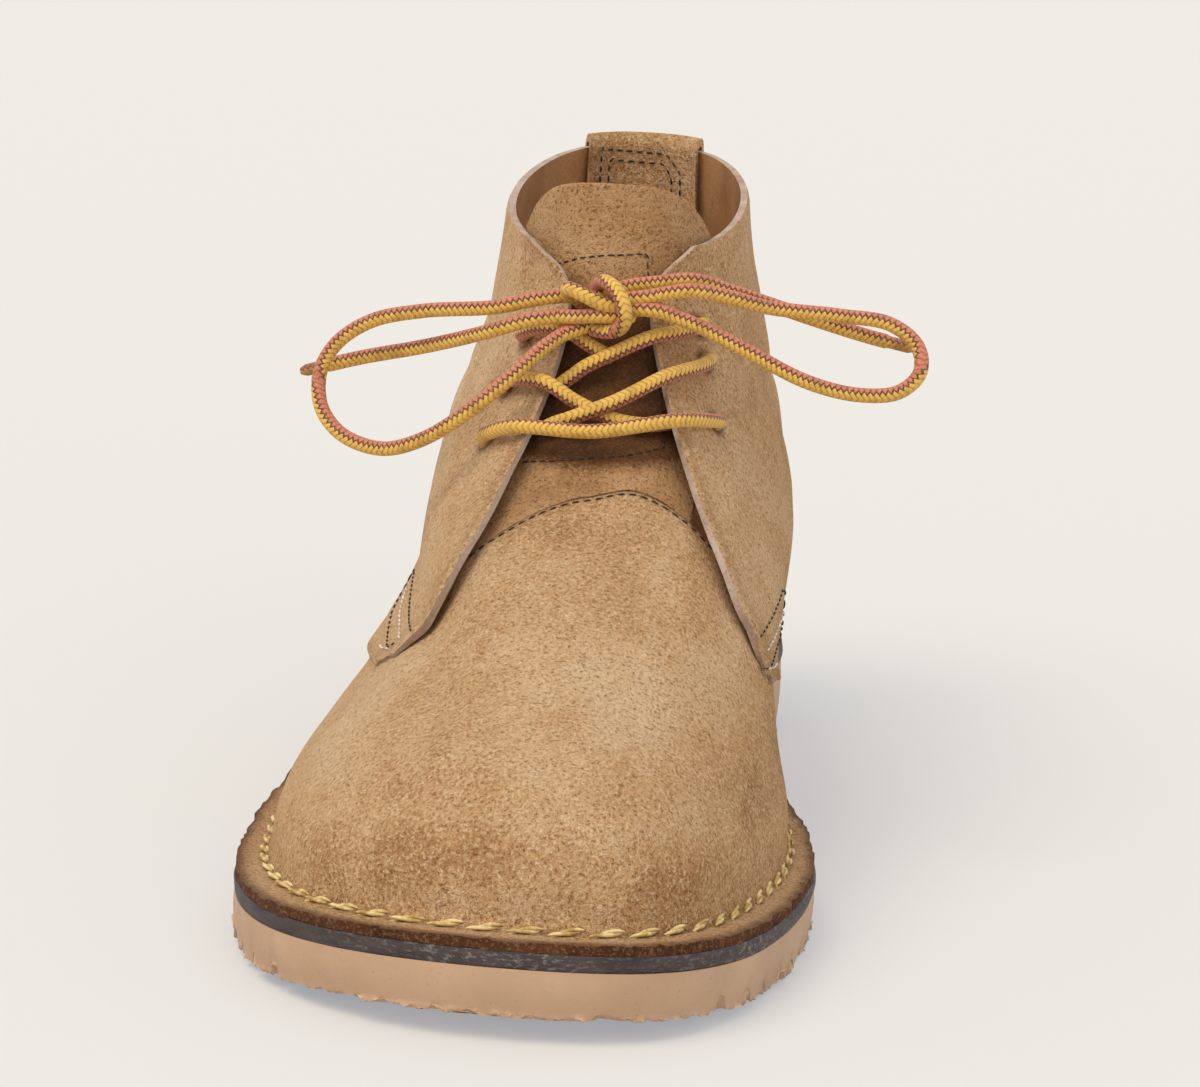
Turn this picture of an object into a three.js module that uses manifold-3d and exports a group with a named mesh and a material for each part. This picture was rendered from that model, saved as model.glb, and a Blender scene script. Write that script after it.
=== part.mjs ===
// Chukka boot for the wearer's right foot: a stitch-down suede upper on a one-piece rubber wedge sole.
// Millimetres, +Z up, toe towards -Y, outer (lateral) side towards -X, origin under the middle of the sole.
import * as THREE from 'three';
import { mergeVertices } from 'three/addons/utils/BufferGeometryUtils.js';
import Module from 'manifold-3d';

const wasm = await Module();
wasm.setup();

// ---- Driving dimensions ----
const LENGTH = 300;
const SUEDE = 2;            // thickness of the upper, the tongue and the pull tab
const MIDSOLE = 3;
const GAP = 0.3;            // air between neighbouring pieces
const TOE_SPRING = 5;       // lift of the toe tip
const SPRING_END = 78;      // distance from the tip at which the sole meets the floor
const ARCH_LIFT = 2.2;      // lift of the tread under the waist
const ARCH = { start: 132, end: 208 };
const HEEL_BEVEL = { start: 284, lift: 2.5 };
const SOLE_TAPER = 0.6;     // how far the bottom edge of the sole draws in
const SIDE_GAIN = 2;        // how much narrower the flange is at the sides than at toe and heel
const LEVELS = 10;          // rings of the last, from the feather edge to the tongue top

// Sole outline: distance from the toe tip, and x of the two edges.
const OUTLINE = [
  { u: 0, lateral: 9, medial: 9 },
  { u: 5, lateral: -18, medial: 32 },
  { u: 22, lateral: -40, medial: 47 },
  { u: 50, lateral: -53, medial: 55 },
  { u: 84, lateral: -57.6, medial: 58 },
  { u: 114, lateral: -58, medial: 54 },
  { u: 150, lateral: -55, medial: 43 },
  { u: 190, lateral: -47.5, medial: 34 },
  { u: 225, lateral: -43, medial: 33.5 },
  { u: 255, lateral: -42, medial: 35 },
  { u: 282, lateral: -35, medial: 27.5 },
  { u: 300, lateral: -2, medial: -2 },
];

// Height of the top of the rubber sole along the boot.
const SOLE_TOP = [
  { u: 0, z: 9.5 },
  { u: 70, z: 9.5 },
  { u: 120, z: 10 },
  { u: 180, z: 14 },
  { u: 235, z: 18 },
  { u: 300, z: 19 },
];

// Rings of the last. Front is on the ridge line, back on the heel line. A low ring keeps the sole's
// outline drawn in by inset, and a high one is an oval of the two half widths about its own axis.
const RINGS = [
  { frontU: 10, frontZ: 0, frontX: 9, backU: 290, backZ: 0, backX: -2, inset: 10, lateral: 46, medial: 46, oval: 0 },
  { frontU: 10.5, frontZ: 10, frontX: 9, backU: 293, backZ: 10, backX: -2, inset: 10, lateral: 44, medial: 44, oval: 0.1 },
  { frontU: 15, frontZ: 20, frontX: 9, backU: 293.5, backZ: 22, backX: -2, inset: 14, lateral: 40, medial: 41, oval: 0.4 },
  { frontU: 28, frontZ: 29, frontX: 8.5, backU: 292, backZ: 34, backX: -2.5, inset: 18, lateral: 37, medial: 37, oval: 0.75 },
  { frontU: 55, frontZ: 38, frontX: 7.5, backU: 289.5, backZ: 46, backX: -3, inset: 24, lateral: 34.5, medial: 35, oval: 1 },
  { frontU: 90, frontZ: 50, frontX: 6, backU: 287.5, backZ: 57, backX: -3.5, inset: 24, lateral: 34, medial: 32.5, oval: 1 },
  { frontU: 122, frontZ: 63, frontX: 4.5, backU: 286.5, backZ: 68, backX: -4, inset: 24, lateral: 32, medial: 30, oval: 1 },
  { frontU: 148, frontZ: 79, frontX: 3.5, backU: 286, backZ: 80, backX: -4.5, inset: 24, lateral: 28, medial: 26.5, oval: 1 },
  { frontU: 163, frontZ: 95, frontX: 2.5, backU: 286, backZ: 93, backX: -5, inset: 24, lateral: 24, medial: 23, oval: 1 },
  { frontU: 171, frontZ: 112, frontX: 1.5, backU: 286.5, backZ: 108, backX: -5, inset: 24, lateral: 22.5, medial: 21.5, oval: 1 },
  { frontU: 174, frontZ: 126, frontX: 1, backU: 287, backZ: 118, backX: -5, inset: 24, lateral: 22.5, medial: 21.5, oval: 1 },
];
const OVAL_POWER = 0.78;    // below 1 the ovals are blunter than ellipses

// Front edge of the quarters: turn away from the ridge line, in degrees, ring by ring.
const QUARTER_EDGE = [
  { level: 0, lateral: 86, medial: 88 },
  { level: 1, lateral: 82, medial: 84 },
  { level: 2, lateral: 77, medial: 79 },
  { level: 3.2, lateral: 68, medial: 72 },
  { level: 4, lateral: 51, medial: 59 },
  { level: 5, lateral: 31, medial: 43 },
  { level: 6, lateral: 20.5, medial: 29 },
  { level: 7, lateral: 13, medial: 17 },
  { level: 7.8, lateral: 10, medial: 12 },
  { level: 8.3, lateral: 14, medial: 16 },
  { level: 8.6, lateral: 28, medial: 28 },
];
const QUARTER_TOP = 8.6;    // level of the rows' upper end at the front corners
const COLLAR_BACK = 9.0;    // level of the collar at the heel
const FACING_LIFT = 3;      // how far the facing edges stand off the tongue
const VAMP_REACH = 104;     // turn, in degrees, at which the hidden ends of the vamp run out
const VAMP_POWER = 1.9;
const VAMP_END = 0.5;       // level of those ends
const VAMP_TOP = 6.05;      // highest level of the vamp's back edge
const VAMP_LEAN = -10;      // turn at which it lies, in degrees
const TONGUE = { startAngle: 36, endAngle: 50, end: 9.4, round: 0.6, gapLevels: 0.04 };
const PULL_TAB = { wall: 1.6, halfAngle: 26, outsideEnd: 7.2, insideEnd: 8.1 };
const INSOLE = { inset: 10.8, thickness: 2.5 };

const LACE = { diameter: 3.4, sides: 8 };
const KNOT = { x: 4.5, y: -1, z: 115.5, halfWidth: 10, halfDepth: 5, halfHeight: 5.4 };

// Stretches of lace over the facings and the tongue: turn, level and distance off the last.
const LACE_BAR = [
  { turn: 36, level: 6.1, off: 7.4 },
  { turn: 28, level: 6.1, off: 9.3 },
  { turn: 20, level: 6.1, off: 10 },
  { turn: 0, level: 6.02, off: 8 },
  { turn: -28, level: 6.3, off: 10.2 },
  { turn: -35, level: 6.38, off: 9.2 },
  { turn: -42, level: 6.4, off: 7.8 },
];
const LOWER_CROSSING = [
  [
    { turn: -37, level: 7.05, off: 7.4 },
    { turn: -28, level: 6.97, off: 10.1 },
    { turn: -17, level: 6.88, off: 10.4 },
    { turn: -4, level: 6.74, off: 8.2 },
    { turn: 6, level: 6.55, off: 6.2 },
    { turn: 12, level: 6.4, off: 4.8 },
  ],
  [
    { turn: 33, level: 6.7, off: 7.4 },
    { turn: 24, level: 6.76, off: 10.1 },
    { turn: 16, level: 6.78, off: 10.6 },
    { turn: 7, level: 6.75, off: 7.6 },
    { turn: -5, level: 6.62, off: 5.4 },
    { turn: -15, level: 6.46, off: 4.6 },
  ],
];
const UPPER_CROSSING = [
  [
    { turn: -33.5, level: 7.6, off: 7.4 },
    { turn: -23, level: 7.52, off: 9.4 },
    { turn: -12, level: 7.44, off: 10 },
    { turn: -2, level: 7.3, off: 8 },
    { turn: 4, level: 7.18, off: 6.2 },
    { turn: 7, level: 7.1, off: 5 },
  ],
  [
    { turn: 28.5, level: 7.35, off: 7.4 },
    { turn: 19, level: 7.4, off: 9.4 },
    { turn: 11, level: 7.4, off: 10 },
    { turn: 4, level: 7.32, off: 7.6 },
    { turn: -3, level: 7.18, off: 5.6 },
    { turn: -9, level: 7.05, off: 4.8 },
  ],
];

// Free stretches of the bow: routes of the lace's middle, from the knot outwards.
const BOW = {
  lace_loop_lateral: [
    [-6, 1, 117], [-12, 0, 116], [-20, -1, 114], [-36, 0, 112], [-47, 1, 109], [-54, 0, 104],
    [-57, -2, 98], [-56, -5, 91], [-51, -8, 86], [-42, -11, 84], [-33, -14, 87], [-23, -16, 94],
    [-14, -13, 102], [-9, -8.5, 107], [-5.5, -5, 109.5],
  ],
  lace_end_lateral: [
    [-6.5, -3, 114], [-12, -5.5, 111.5], [-19, -5, 109], [-28, 0, 106], [-37, 4, 103.5],
    [-50, 7, 100], [-63, 8, 96],
  ],
  lace_loop_medial: [
    [14.5, -2, 118.5], [21, -2, 120], [29, 0, 119], [37, 2, 117], [52, 3, 116], [63, 2, 115],
    [69, 0, 111], [70, -3, 106], [66, -5, 102], [58, -6, 101], [47, -6, 103], [33, -5, 107.5],
    [23, -4, 112], [15.5, -3, 114],
  ],
  lace_end_medial: [
    [13, 3.5, 120.5], [21, 4, 121.5], [28, 6, 119.5], [36, 8, 117], [48, 9, 113.5],
    [58, 9, 111], [68, 9, 109],
  ],
};

// ---- Small helpers ----
const rad = THREE.MathUtils.degToRad;
const lerp = THREE.MathUtils.lerp;
const clamp = THREE.MathUtils.clamp;

// A smooth curve through (at, value) pairs in rising order; a period closes it on itself.
function smoothCurve(nodes, period = 0) {
  const n = nodes.length;
  const node = (i) => {
    if (!period) return nodes[clamp(i, 0, n - 1)];
    const turn = Math.floor(i / n);
    const [at, value] = nodes[i - turn * n];
    return [at + turn * period, value];
  };
  const slope = (i) => {
    const [a, b] = [node(i - 1), node(i + 1)];
    return b[0] === a[0] ? 0 : (b[1] - a[1]) / (b[0] - a[0]);
  };
  return (at) => {
    const x = period ? at - period * Math.floor((at - nodes[0][0]) / period) : at;
    let i = 0;
    while (i < (period ? n - 1 : n - 2) && node(i + 1)[0] < x) i += 1;
    const [x0, y0] = node(i);
    const [x1, y1] = node(i + 1);
    const h = x1 - x0;
    const t = clamp((x - x0) / h, 0, 1);
    const t2 = t * t;
    const t3 = t2 * t;
    return (2 * t3 - 3 * t2 + 1) * y0 + (t3 - 2 * t2 + t) * h * slope(i)
      + (3 * t2 - 2 * t3) * y1 + (t3 - t2) * h * slope(i + 1);
  };
}

function column(rows, key, value) {
  return smoothCurve(rows.map((row) => [row[key], row[value]]));
}

// Straight lines between rows, for edges that turn a sharp corner.
function brokenLine(rows, key, value) {
  return (at) => {
    let i = 0;
    while (i < rows.length - 2 && rows[i + 1][key] < at) i += 1;
    const t = (at - rows[i][key]) / (rows[i + 1][key] - rows[i][key]);
    return lerp(rows[i][value], rows[i + 1][value], clamp(t, 0, 1));
  };
}

// ---- Sole outline, walked by an angle: 0 at the toe tip, +90 lateral, 180 heel, -90 medial ----
const angleOf = (u) => Math.acos(1 - (2 * u) / LENGTH);
const outlineNodes = [
  ...OUTLINE.slice(1).reverse().map((row) => [-angleOf(row.u), row.medial]),
  ...OUTLINE.slice(0, -1).map((row) => [angleOf(row.u), row.lateral]),
];
const outlineX = smoothCurve(outlineNodes, 2 * Math.PI);
const edgePoint = (angle) => new THREE.Vector2(outlineX(angle), (-LENGTH / 2) * Math.cos(angle));

function insetPoint(angle, inset) {
  const step = 0.02;
  const along = edgePoint(angle + step).sub(edgePoint(angle - step)).normalize();
  const inward = new THREE.Vector2(-along.y, along.x).multiplyScalar(-inset);
  return edgePoint(angle).add(inward);
}

const fromTip = (y) => y + LENGTH / 2;
const soleTopCurve = column(SOLE_TOP, 'u', 'z');
const springLift = (u) => TOE_SPRING * Math.max(0, 1 - u / SPRING_END) ** 2;

function treadHeight(y) {
  const u = fromTip(y);
  const arch = clamp((u - ARCH.start) / (ARCH.end - ARCH.start), 0, 1);
  const bevel = Math.max(0, (u - HEEL_BEVEL.start) / (LENGTH - HEEL_BEVEL.start));
  return springLift(u) + ARCH_LIFT * Math.sin(Math.PI * arch) ** 2 + HEEL_BEVEL.lift * bevel ** 2;
}

const soleTopHeight = (y) => soleTopCurve(fromTip(y)) + springLift(fromTip(y));
const midsoleTopHeight = (y) => soleTopHeight(y) + GAP + MIDSOLE;
const flangeFootHeight = (y) => midsoleTopHeight(y) + GAP;
const flangeTopHeight = (y) => flangeFootHeight(y) + SUEDE;

// ---- The last: point(angle, level), angle 0 on the ridge line, level 0 at the feather edge ----
const ringColumns = {};
for (const name of Object.keys(RINGS[0])) {
  ringColumns[name] = smoothCurve(RINGS.map((ring, level) => [level, ring[name]]));
}

function lastPoint(turn, level) {
  const angle = turn > Math.PI ? turn - 2 * Math.PI : turn;
  const ring = (name) => ringColumns[name](level);
  const along = (1 - Math.cos(angle)) / 2;
  const inset = ring('inset') - SIDE_GAIN * Math.sin(angle) ** 2;
  const foot = insetPoint(angle, inset);
  const footAlong = (fromTip(foot.y) - inset) / (LENGTH - 2 * inset);
  const footU = lerp(ring('frontU'), ring('backU'), footAlong);
  const halfWidth = angle > 0 ? ring('lateral') : ring('medial');
  const sideways = Math.sign(angle) * halfWidth * Math.abs(Math.sin(angle)) ** OVAL_POWER;
  const ovalX = lerp(ring('frontX'), ring('backX'), along) - sideways;
  const ovalU = lerp(ring('frontU'), ring('backU'), along);
  const x = lerp(foot.x, ovalX, ring('oval'));
  const y = lerp(footU, ovalU, ring('oval')) - LENGTH / 2;
  const height = lerp(ring('frontZ'), ring('backZ'), along);
  return new THREE.Vector3(x, y, flangeTopHeight(y) + height);
}

function lastNormal(angle, level) {
  const step = 0.03;
  const low = Math.max(level - step, 0);
  const high = Math.min(level + step, LEVELS);
  const around = lastPoint(angle + step, level).sub(lastPoint(angle - step, level));
  const up = lastPoint(angle, high).sub(lastPoint(angle, low));
  return up.cross(around).normalize();
}

const offLast = (angle, level, offset) =>
  lastPoint(angle, level).addScaledVector(lastNormal(angle, level), offset);

// ---- Solids ----
function geometryOf(positions, triangles) {
  const geometry = new THREE.BufferGeometry();
  geometry.setAttribute('position', new THREE.Float32BufferAttribute(positions, 3));
  geometry.setIndex(triangles);
  return mergeVertices(geometry, 1e-4);
}

// Closed shell between two grids of points of the same size, outer[row][column] and inner.
function shell(outer, inner) {
  const rows = outer.length;
  const columns = outer[0].length;
  const points = [...outer.flat(), ...inner.flat()];
  const triangles = [];
  const quad = (a, b, c, d) => triangles.push(a, b, c, a, c, d);
  const out = (r, c) => r * columns + c;
  const back = (r, c) => rows * columns + out(r, c);
  for (let r = 0; r < rows - 1; r += 1) {
    for (let c = 0; c < columns - 1; c += 1) {
      quad(out(r, c), out(r + 1, c), out(r + 1, c + 1), out(r, c + 1));
      quad(back(r, c), back(r, c + 1), back(r + 1, c + 1), back(r + 1, c));
    }
    quad(out(r + 1, 0), out(r, 0), back(r, 0), back(r + 1, 0));
    const last = columns - 1;
    quad(out(r, last), out(r + 1, last), back(r + 1, last), back(r, last));
  }
  for (let c = 0; c < columns - 1; c += 1) {
    const top = rows - 1;
    quad(out(0, c), out(0, c + 1), back(0, c + 1), back(0, c));
    quad(out(top, c + 1), out(top, c), back(top, c), back(top, c + 1));
  }
  return geometryOf(points.flatMap((p) => [p.x, p.y, p.z]), triangles);
}

function toManifold(geometry) {
  return new wasm.Manifold(new wasm.Mesh({
    numProp: 3,
    vertProperties: new Float32Array(geometry.attributes.position.array),
    triVerts: new Uint32Array(geometry.index.array),
  }));
}

const SLIVER = 0.01;        // edges shorter than this are closed up after a join or a cut

function fromManifold(solid) {
  const mesh = solid.simplify(SLIVER).getMesh();
  return geometryOf(Array.from(mesh.vertProperties), Array.from(mesh.triVerts));
}

const steps = (count) => Array.from({ length: count + 1 }, (unused, i) => i / count);

// Flat slab with the sole's outline: insets and height functions of its top and bottom.
function slab(topInset, topHeight, bottomInset, bottomHeight, stations) {
  const positions = [];
  const add = (angle, inset, height) => {
    const p = insetPoint(angle, inset);
    positions.push(p.x, p.y, height(p.y));
    return positions.length / 3 - 1;
  };
  const rings = steps(stations).map((t) => {
    const angle = Math.PI * t;
    const tip = t === 0 || t === 1;
    const topLateral = add(angle, topInset, topHeight);
    const topMedial = tip ? topLateral : add(-angle, topInset, topHeight);
    const bottomLateral = add(angle, bottomInset, bottomHeight);
    const bottomMedial = tip ? bottomLateral : add(-angle, bottomInset, bottomHeight);
    return [topLateral, bottomLateral, bottomMedial, topMedial];
  });
  const triangles = [];
  for (let i = 0; i < stations; i += 1) {
    for (let k = 0; k < 4; k += 1) {
      const [a, b] = [rings[i][k], rings[i][(k + 1) % 4]];
      const [c, d] = [rings[i + 1][(k + 1) % 4], rings[i + 1][k]];
      if (a !== b) triangles.push(a, c, b);
      if (c !== d) triangles.push(a, d, c);
    }
  }
  return geometryOf(positions, triangles);
}

// ---- Outsole with cross grooves that leave the main lugs ----
const LUGS = { pitch: 9.5, groove: 2.6, depth: 2.2, forefoot: [22, 128], heel: [214, 290] };

function outsoleGeometry() {
  let solid = toManifold(slab(0, soleTopHeight, SOLE_TAPER, treadHeight, 40));
  for (const [start, end] of [LUGS.forefoot, LUGS.heel]) {
    for (let u = start; u <= end; u += LUGS.pitch) {
      const y = u - LENGTH / 2;
      const bar = new THREE.BoxGeometry(LENGTH, LUGS.groove, 2 * LUGS.depth);
      bar.translate(0, y, treadHeight(y));
      bar.deleteAttribute('normal');
      bar.deleteAttribute('uv');
      solid = solid.subtract(toManifold(mergeVertices(bar)));
    }
  }
  return fromManifold(solid);
}

// ---- Upper: vamp and quarters, each with its turned-out flange, joined in one solid ----
const VAMP_FLANGE = { inset: 0.3, lift: 0 };
const QUARTER_FLANGE = { inset: 0.8, lift: 0.35 };   // laps the vamp's flange with a small step
const JOIN = 1;             // how deep the quarters reach into the vamp, where they are one solid

// A wall that starts at the sole's edge, crosses the flange and climbs the last. Each row is a list of
// { angle, level, inner, outer }, the offsets being those of the wall's two faces; the first has level 0.
function wall(rows, flange) {
  const at = (p, z) => new THREE.Vector3(p.x, p.y, z);
  const outer = [[], []];
  const inner = [[], []];
  for (const { angle, inner: innerOffset, outer: outerOffset } of rows[0]) {
    const edge = insetPoint(angle, flange.inset);
    const crease = offLast(angle, 0, outerOffset);
    const inside = offLast(angle, 0, innerOffset);
    outer[0].push(at(edge, flangeTopHeight(edge.y) + flange.lift));
    outer[1].push(at(crease, flangeTopHeight(crease.y) + flange.lift));
    inner[0].push(at(edge, flangeFootHeight(edge.y) + flange.lift));
    inner[1].push(at(inside, flangeFootHeight(inside.y) + flange.lift));
  }
  for (const row of rows.slice(1)) {
    outer.push(row.map((spot) => offLast(spot.angle, spot.level, spot.outer)));
    inner.push(row.map((spot) => offLast(spot.angle, spot.level, spot.inner)));
  }
  return shell(outer, inner);
}

function vampTop(angle) {
  const away = Math.abs(angle - rad(VAMP_LEAN)) / (rad(VAMP_REACH) - Math.sign(angle) * rad(VAMP_LEAN));
  return lerp(VAMP_TOP, VAMP_END, away ** VAMP_POWER);
}

function vampWall() {
  const heights = [0, 0.08, 0.16, 0.25, 0.36, 0.48, 0.6, 0.73, 0.87, 1];
  const angles = steps(34).map((t) => lerp(-rad(VAMP_REACH), rad(VAMP_REACH), t));
  const row = (part) => angles.map((angle) => (
    { angle, level: part * vampTop(angle), inner: 0, outer: SUEDE }));
  return wall(heights.map(row), VAMP_FLANGE);
}

const edgeLateral = brokenLine(QUARTER_EDGE, 'level', 'lateral');
const edgeMedial = brokenLine(QUARTER_EDGE, 'level', 'medial');
const collarRise = (angle) => (COLLAR_BACK - QUARTER_TOP) * ((1 - Math.cos(angle)) / 2) ** 3;

// Offset of the quarters' inner face: joined to the vamp low down, clear of the tongue higher up,
// and lifted towards the facing edges. away is the turn from the nearer facing edge.
function quarterOffset(level, away) {
  const clear = THREE.MathUtils.smoothstep(level, 5.2, 6);
  const near = Math.max(0, 1 - away / rad(26)) ** 2;
  const lift = FACING_LIFT * near * THREE.MathUtils.smoothstep(level, 3, 5.5);
  return SUEDE + lerp(-JOIN, 2 * GAP, clear) + lift;
}

function quarterWall() {
  const levels = [0, 0.5, 1, 1.6, 2.4, 3.2, 4, 5, 6, 7, 7.8, 8.3, QUARTER_TOP];
  const row = (base) => {
    const start = rad(edgeLateral(base));
    const end = 2 * Math.PI - rad(edgeMedial(base));
    return steps(44).map((t) => {
      const angle = lerp(start, end, t);
      const level = base + collarRise(angle) * (base / QUARTER_TOP) ** 4;
      const offset = quarterOffset(level, Math.min(angle - start, end - angle));
      return { angle, level, inner: offset, outer: offset + SUEDE };
    });
  };
  return wall(levels.map(row), QUARTER_FLANGE);
}

function upperGeometry() {
  return fromManifold(toManifold(vampWall()).add(toManifold(quarterWall())));
}

// ---- Tongue: goes on from the vamp's back edge, under the facings, to above the collar ----
function tongueGeometry() {
  const column = (across) => {
    const start = rad(TONGUE.startAngle) * across;
    const low = vampTop(start) + TONGUE.gapLevels;
    const high = TONGUE.end - TONGUE.round * across ** 4;
    return steps(11).map((t) => {
      const angle = rad(lerp(TONGUE.startAngle, TONGUE.endAngle, t)) * across;
      return { angle, level: lerp(low, high, t) };
    });
  };
  const columns = steps(10).map((t) => column(2 * t - 1));
  const grid = (offset) => columns[0].map((unused, r) =>
    columns.map((spots) => offLast(spots[r].angle, spots[r].level, offset)));
  return shell(grid(SUEDE), grid(0));
}

// ---- Pull tab: a strip folded over the collar at the heel ----
function pullTabGeometry() {
  const { wall: thickness, halfAngle, outsideEnd, insideEnd } = PULL_TAB;
  const nearOutside = SUEDE * 2 + 4 * GAP;
  const nearInside = SUEDE;
  const top = COLLAR_BACK + 0.06;
  const crown = top + thickness / 12;
  const path = [
    [outsideEnd, nearOutside, outsideEnd, nearOutside + thickness],
    [(outsideEnd + top) / 2, nearOutside, (outsideEnd + top) / 2, nearOutside + thickness],
    [top - 0.12, nearOutside, top - 0.1, nearOutside + thickness],
    [top, nearOutside - GAP, crown, nearOutside],
    [top, nearInside + GAP, crown, nearInside],
    [top - 0.12, nearInside, top - 0.1, nearInside - thickness],
    [insideEnd, nearInside, insideEnd, nearInside - thickness],
  ];
  const angles = steps(8).map((t) => Math.PI + rad(halfAngle) * (2 * t - 1));
  const grid = (levelAt, offsetAt) => path.map((row) =>
    angles.map((angle) => {
      const drop = (COLLAR_BACK - QUARTER_TOP) - collarRise(angle);
      return offLast(angle, row[levelAt] - drop, row[offsetAt]);
    }));
  return shell(grid(2, 3), grid(0, 1));
}

// ---- Lace ----
function laceTube(points, count) {
  const section = Array.from({ length: LACE.sides }, (unused, i) => {
    const angle = (2 * Math.PI * i) / LACE.sides;
    return new THREE.Vector2(Math.cos(angle), Math.sin(angle)).multiplyScalar(LACE.diameter / 2);
  });
  const extrudePath = new THREE.CatmullRomCurve3(points, false, 'centripetal');
  const tube = new THREE.ExtrudeGeometry(new THREE.Shape(section), { extrudePath, steps: count });
  tube.deleteAttribute('normal');
  tube.deleteAttribute('uv');
  return mergeVertices(tube, 1e-4);
}

const onBoot = (route) => route.map(({ turn, level, off }) => offLast(rad(turn), level, off));
const onAir = (route) => route.map(([x, y, z]) => new THREE.Vector3(x, y, z));

function crossingGeometry([upper, under]) {
  return fromManifold(toManifold(laceTube(onBoot(upper), 14)).add(toManifold(laceTube(onBoot(under), 14))));
}

function knotGeometry() {
  const knot = new THREE.SphereGeometry(1, 14, 9);
  knot.deleteAttribute('normal');
  knot.deleteAttribute('uv');
  knot.scale(KNOT.halfWidth, KNOT.halfDepth, KNOT.halfHeight);
  knot.translate(KNOT.x, KNOT.y, KNOT.z);
  return mergeVertices(knot, 1e-4);
}

// ---- Assembly ----
const group = new THREE.Group();

function addPiece(name, geometry, color, roughness) {
  const mesh = new THREE.Mesh(geometry, new THREE.MeshStandardMaterial({ color, roughness, metalness: 0 }));
  mesh.name = name;
  group.add(mesh);
}

const raised = (height) => (y) => midsoleTopHeight(y) + height;
addPiece('outsole', outsoleGeometry(), 0xcba27e, 0.8);
addPiece('midsole', slab(0, midsoleTopHeight, 0, (y) => soleTopHeight(y) + GAP, 40), 0x3a3030, 0.7);
addPiece('insole', slab(INSOLE.inset, raised(GAP + INSOLE.thickness), INSOLE.inset, raised(GAP), 28), 0x9a6a3e, 0.7);
addPiece('upper', upperGeometry(), 0xb5834d, 0.95);
addPiece('tongue', tongueGeometry(), 0xa97845, 0.95);
addPiece('pull_tab', pullTabGeometry(), 0xb5834d, 0.95);
addPiece('lace_bar', laceTube(onBoot(LACE_BAR), 18), 0xd9a92e, 0.8);
addPiece('lace_crossing_lower', crossingGeometry(LOWER_CROSSING), 0xd9a92e, 0.8);
addPiece('lace_crossing_upper', crossingGeometry(UPPER_CROSSING), 0xd9a92e, 0.8);
addPiece('lace_knot', knotGeometry(), 0xb5603a, 0.8);
for (const [name, route] of Object.entries(BOW)) {
  addPiece(name, laceTube(onAir(route), 4 * (route.length - 1)), 0xd9a92e, 0.8);
}

export default group;
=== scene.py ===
"""Chukka boot for the right foot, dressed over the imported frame.

A stitch-down suede upper, a thin dark midsole, a thick pale rubber sole and a round
braided lace tied in a bow.
Metres, +Z up, toe towards -Y, outer side towards -X. Sizes named here are in millimetres.
"""
import math

import bmesh
import bpy
import numpy as np
from mathutils import Euler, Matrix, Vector


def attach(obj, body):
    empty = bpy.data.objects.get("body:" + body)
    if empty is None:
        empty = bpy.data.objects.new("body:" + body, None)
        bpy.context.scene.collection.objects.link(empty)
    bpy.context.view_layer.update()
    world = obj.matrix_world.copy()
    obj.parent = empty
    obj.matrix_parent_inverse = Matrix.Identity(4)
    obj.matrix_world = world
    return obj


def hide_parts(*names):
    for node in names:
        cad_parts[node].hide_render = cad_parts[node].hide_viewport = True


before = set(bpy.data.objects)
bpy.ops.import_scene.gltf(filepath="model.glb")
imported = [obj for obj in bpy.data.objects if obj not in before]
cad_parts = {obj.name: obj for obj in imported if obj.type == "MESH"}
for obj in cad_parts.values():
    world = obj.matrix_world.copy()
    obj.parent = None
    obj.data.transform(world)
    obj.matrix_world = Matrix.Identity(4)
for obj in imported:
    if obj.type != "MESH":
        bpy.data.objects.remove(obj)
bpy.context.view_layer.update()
BODY = "root"
MM = 0.001

# ---- Driving sizes: the part's, some of them refined since it was built ----
LENGTH = 300.0
SUEDE = 2.0
MIDSOLE = 3.0
GAP = 0.3
TOE_SPRING = 5.0
SPRING_END = 78.0
ARCH_LIFT = 2.2
ARCH_START = 132.0
ARCH_END = 208.0
HEEL_BEVEL_START = 284.0
HEEL_BEVEL_LIFT = 2.5
SIDE_GAIN = 2.0
OVAL_POWER = 0.78
TOP_LEVEL = 10.0

# Sole outline: distance from the toe tip, and x of the two edges.
OUTLINE = {
    "u": (0, 5, 22, 50, 84, 114, 150, 190, 225, 255, 282, 300),
    "lateral": (9, -18, -40, -53, -57.6, -58, -55, -47.5, -43, -42, -35, -2),
    "medial": (9, 32, 47, 55, 58, 54, 43, 34, 33.5, 35, 27.5, -2),
}
SOLE_TOP = {"u": (0, 70, 120, 180, 235, 300), "z": (9.5, 9.5, 10, 14, 18, 19)}

# Rings of the last, from the feather edge up: front on the ridge line, back on the heel line.
RINGS = {
    "front_u": (10, 10.5, 15, 28, 55, 90, 122, 148, 163, 171, 174),
    "front_z": (0, 10, 20, 29, 38, 50, 63, 79, 95, 112, 126),
    "front_x": (9, 9, 9, 8.5, 7.5, 6, 4.5, 3.5, 2.5, 1.5, 1),
    "back_u": (290, 293, 293.5, 292, 289.5, 287.5, 286.5, 286, 286, 286.5, 287),
    "back_z": (0, 10, 22, 34, 46, 57, 68, 80, 93, 108, 118),
    "back_x": (-2, -2, -2, -2.5, -3, -3.5, -4, -4.5, -5, -5, -5),
    "inset": (10, 10, 14, 18, 24, 24, 24, 24, 24, 24, 24),
    "lateral": (46, 44, 40, 37, 34.5, 34, 31, 26, 24, 22.5, 22.5),
    "medial": (46, 44, 43, 39, 36.5, 33, 29.5, 26, 23, 21.5, 21.5),
    "oval": (0, 0.1, 0.4, 0.75, 1, 1, 1, 1, 1, 1, 1),
}

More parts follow.
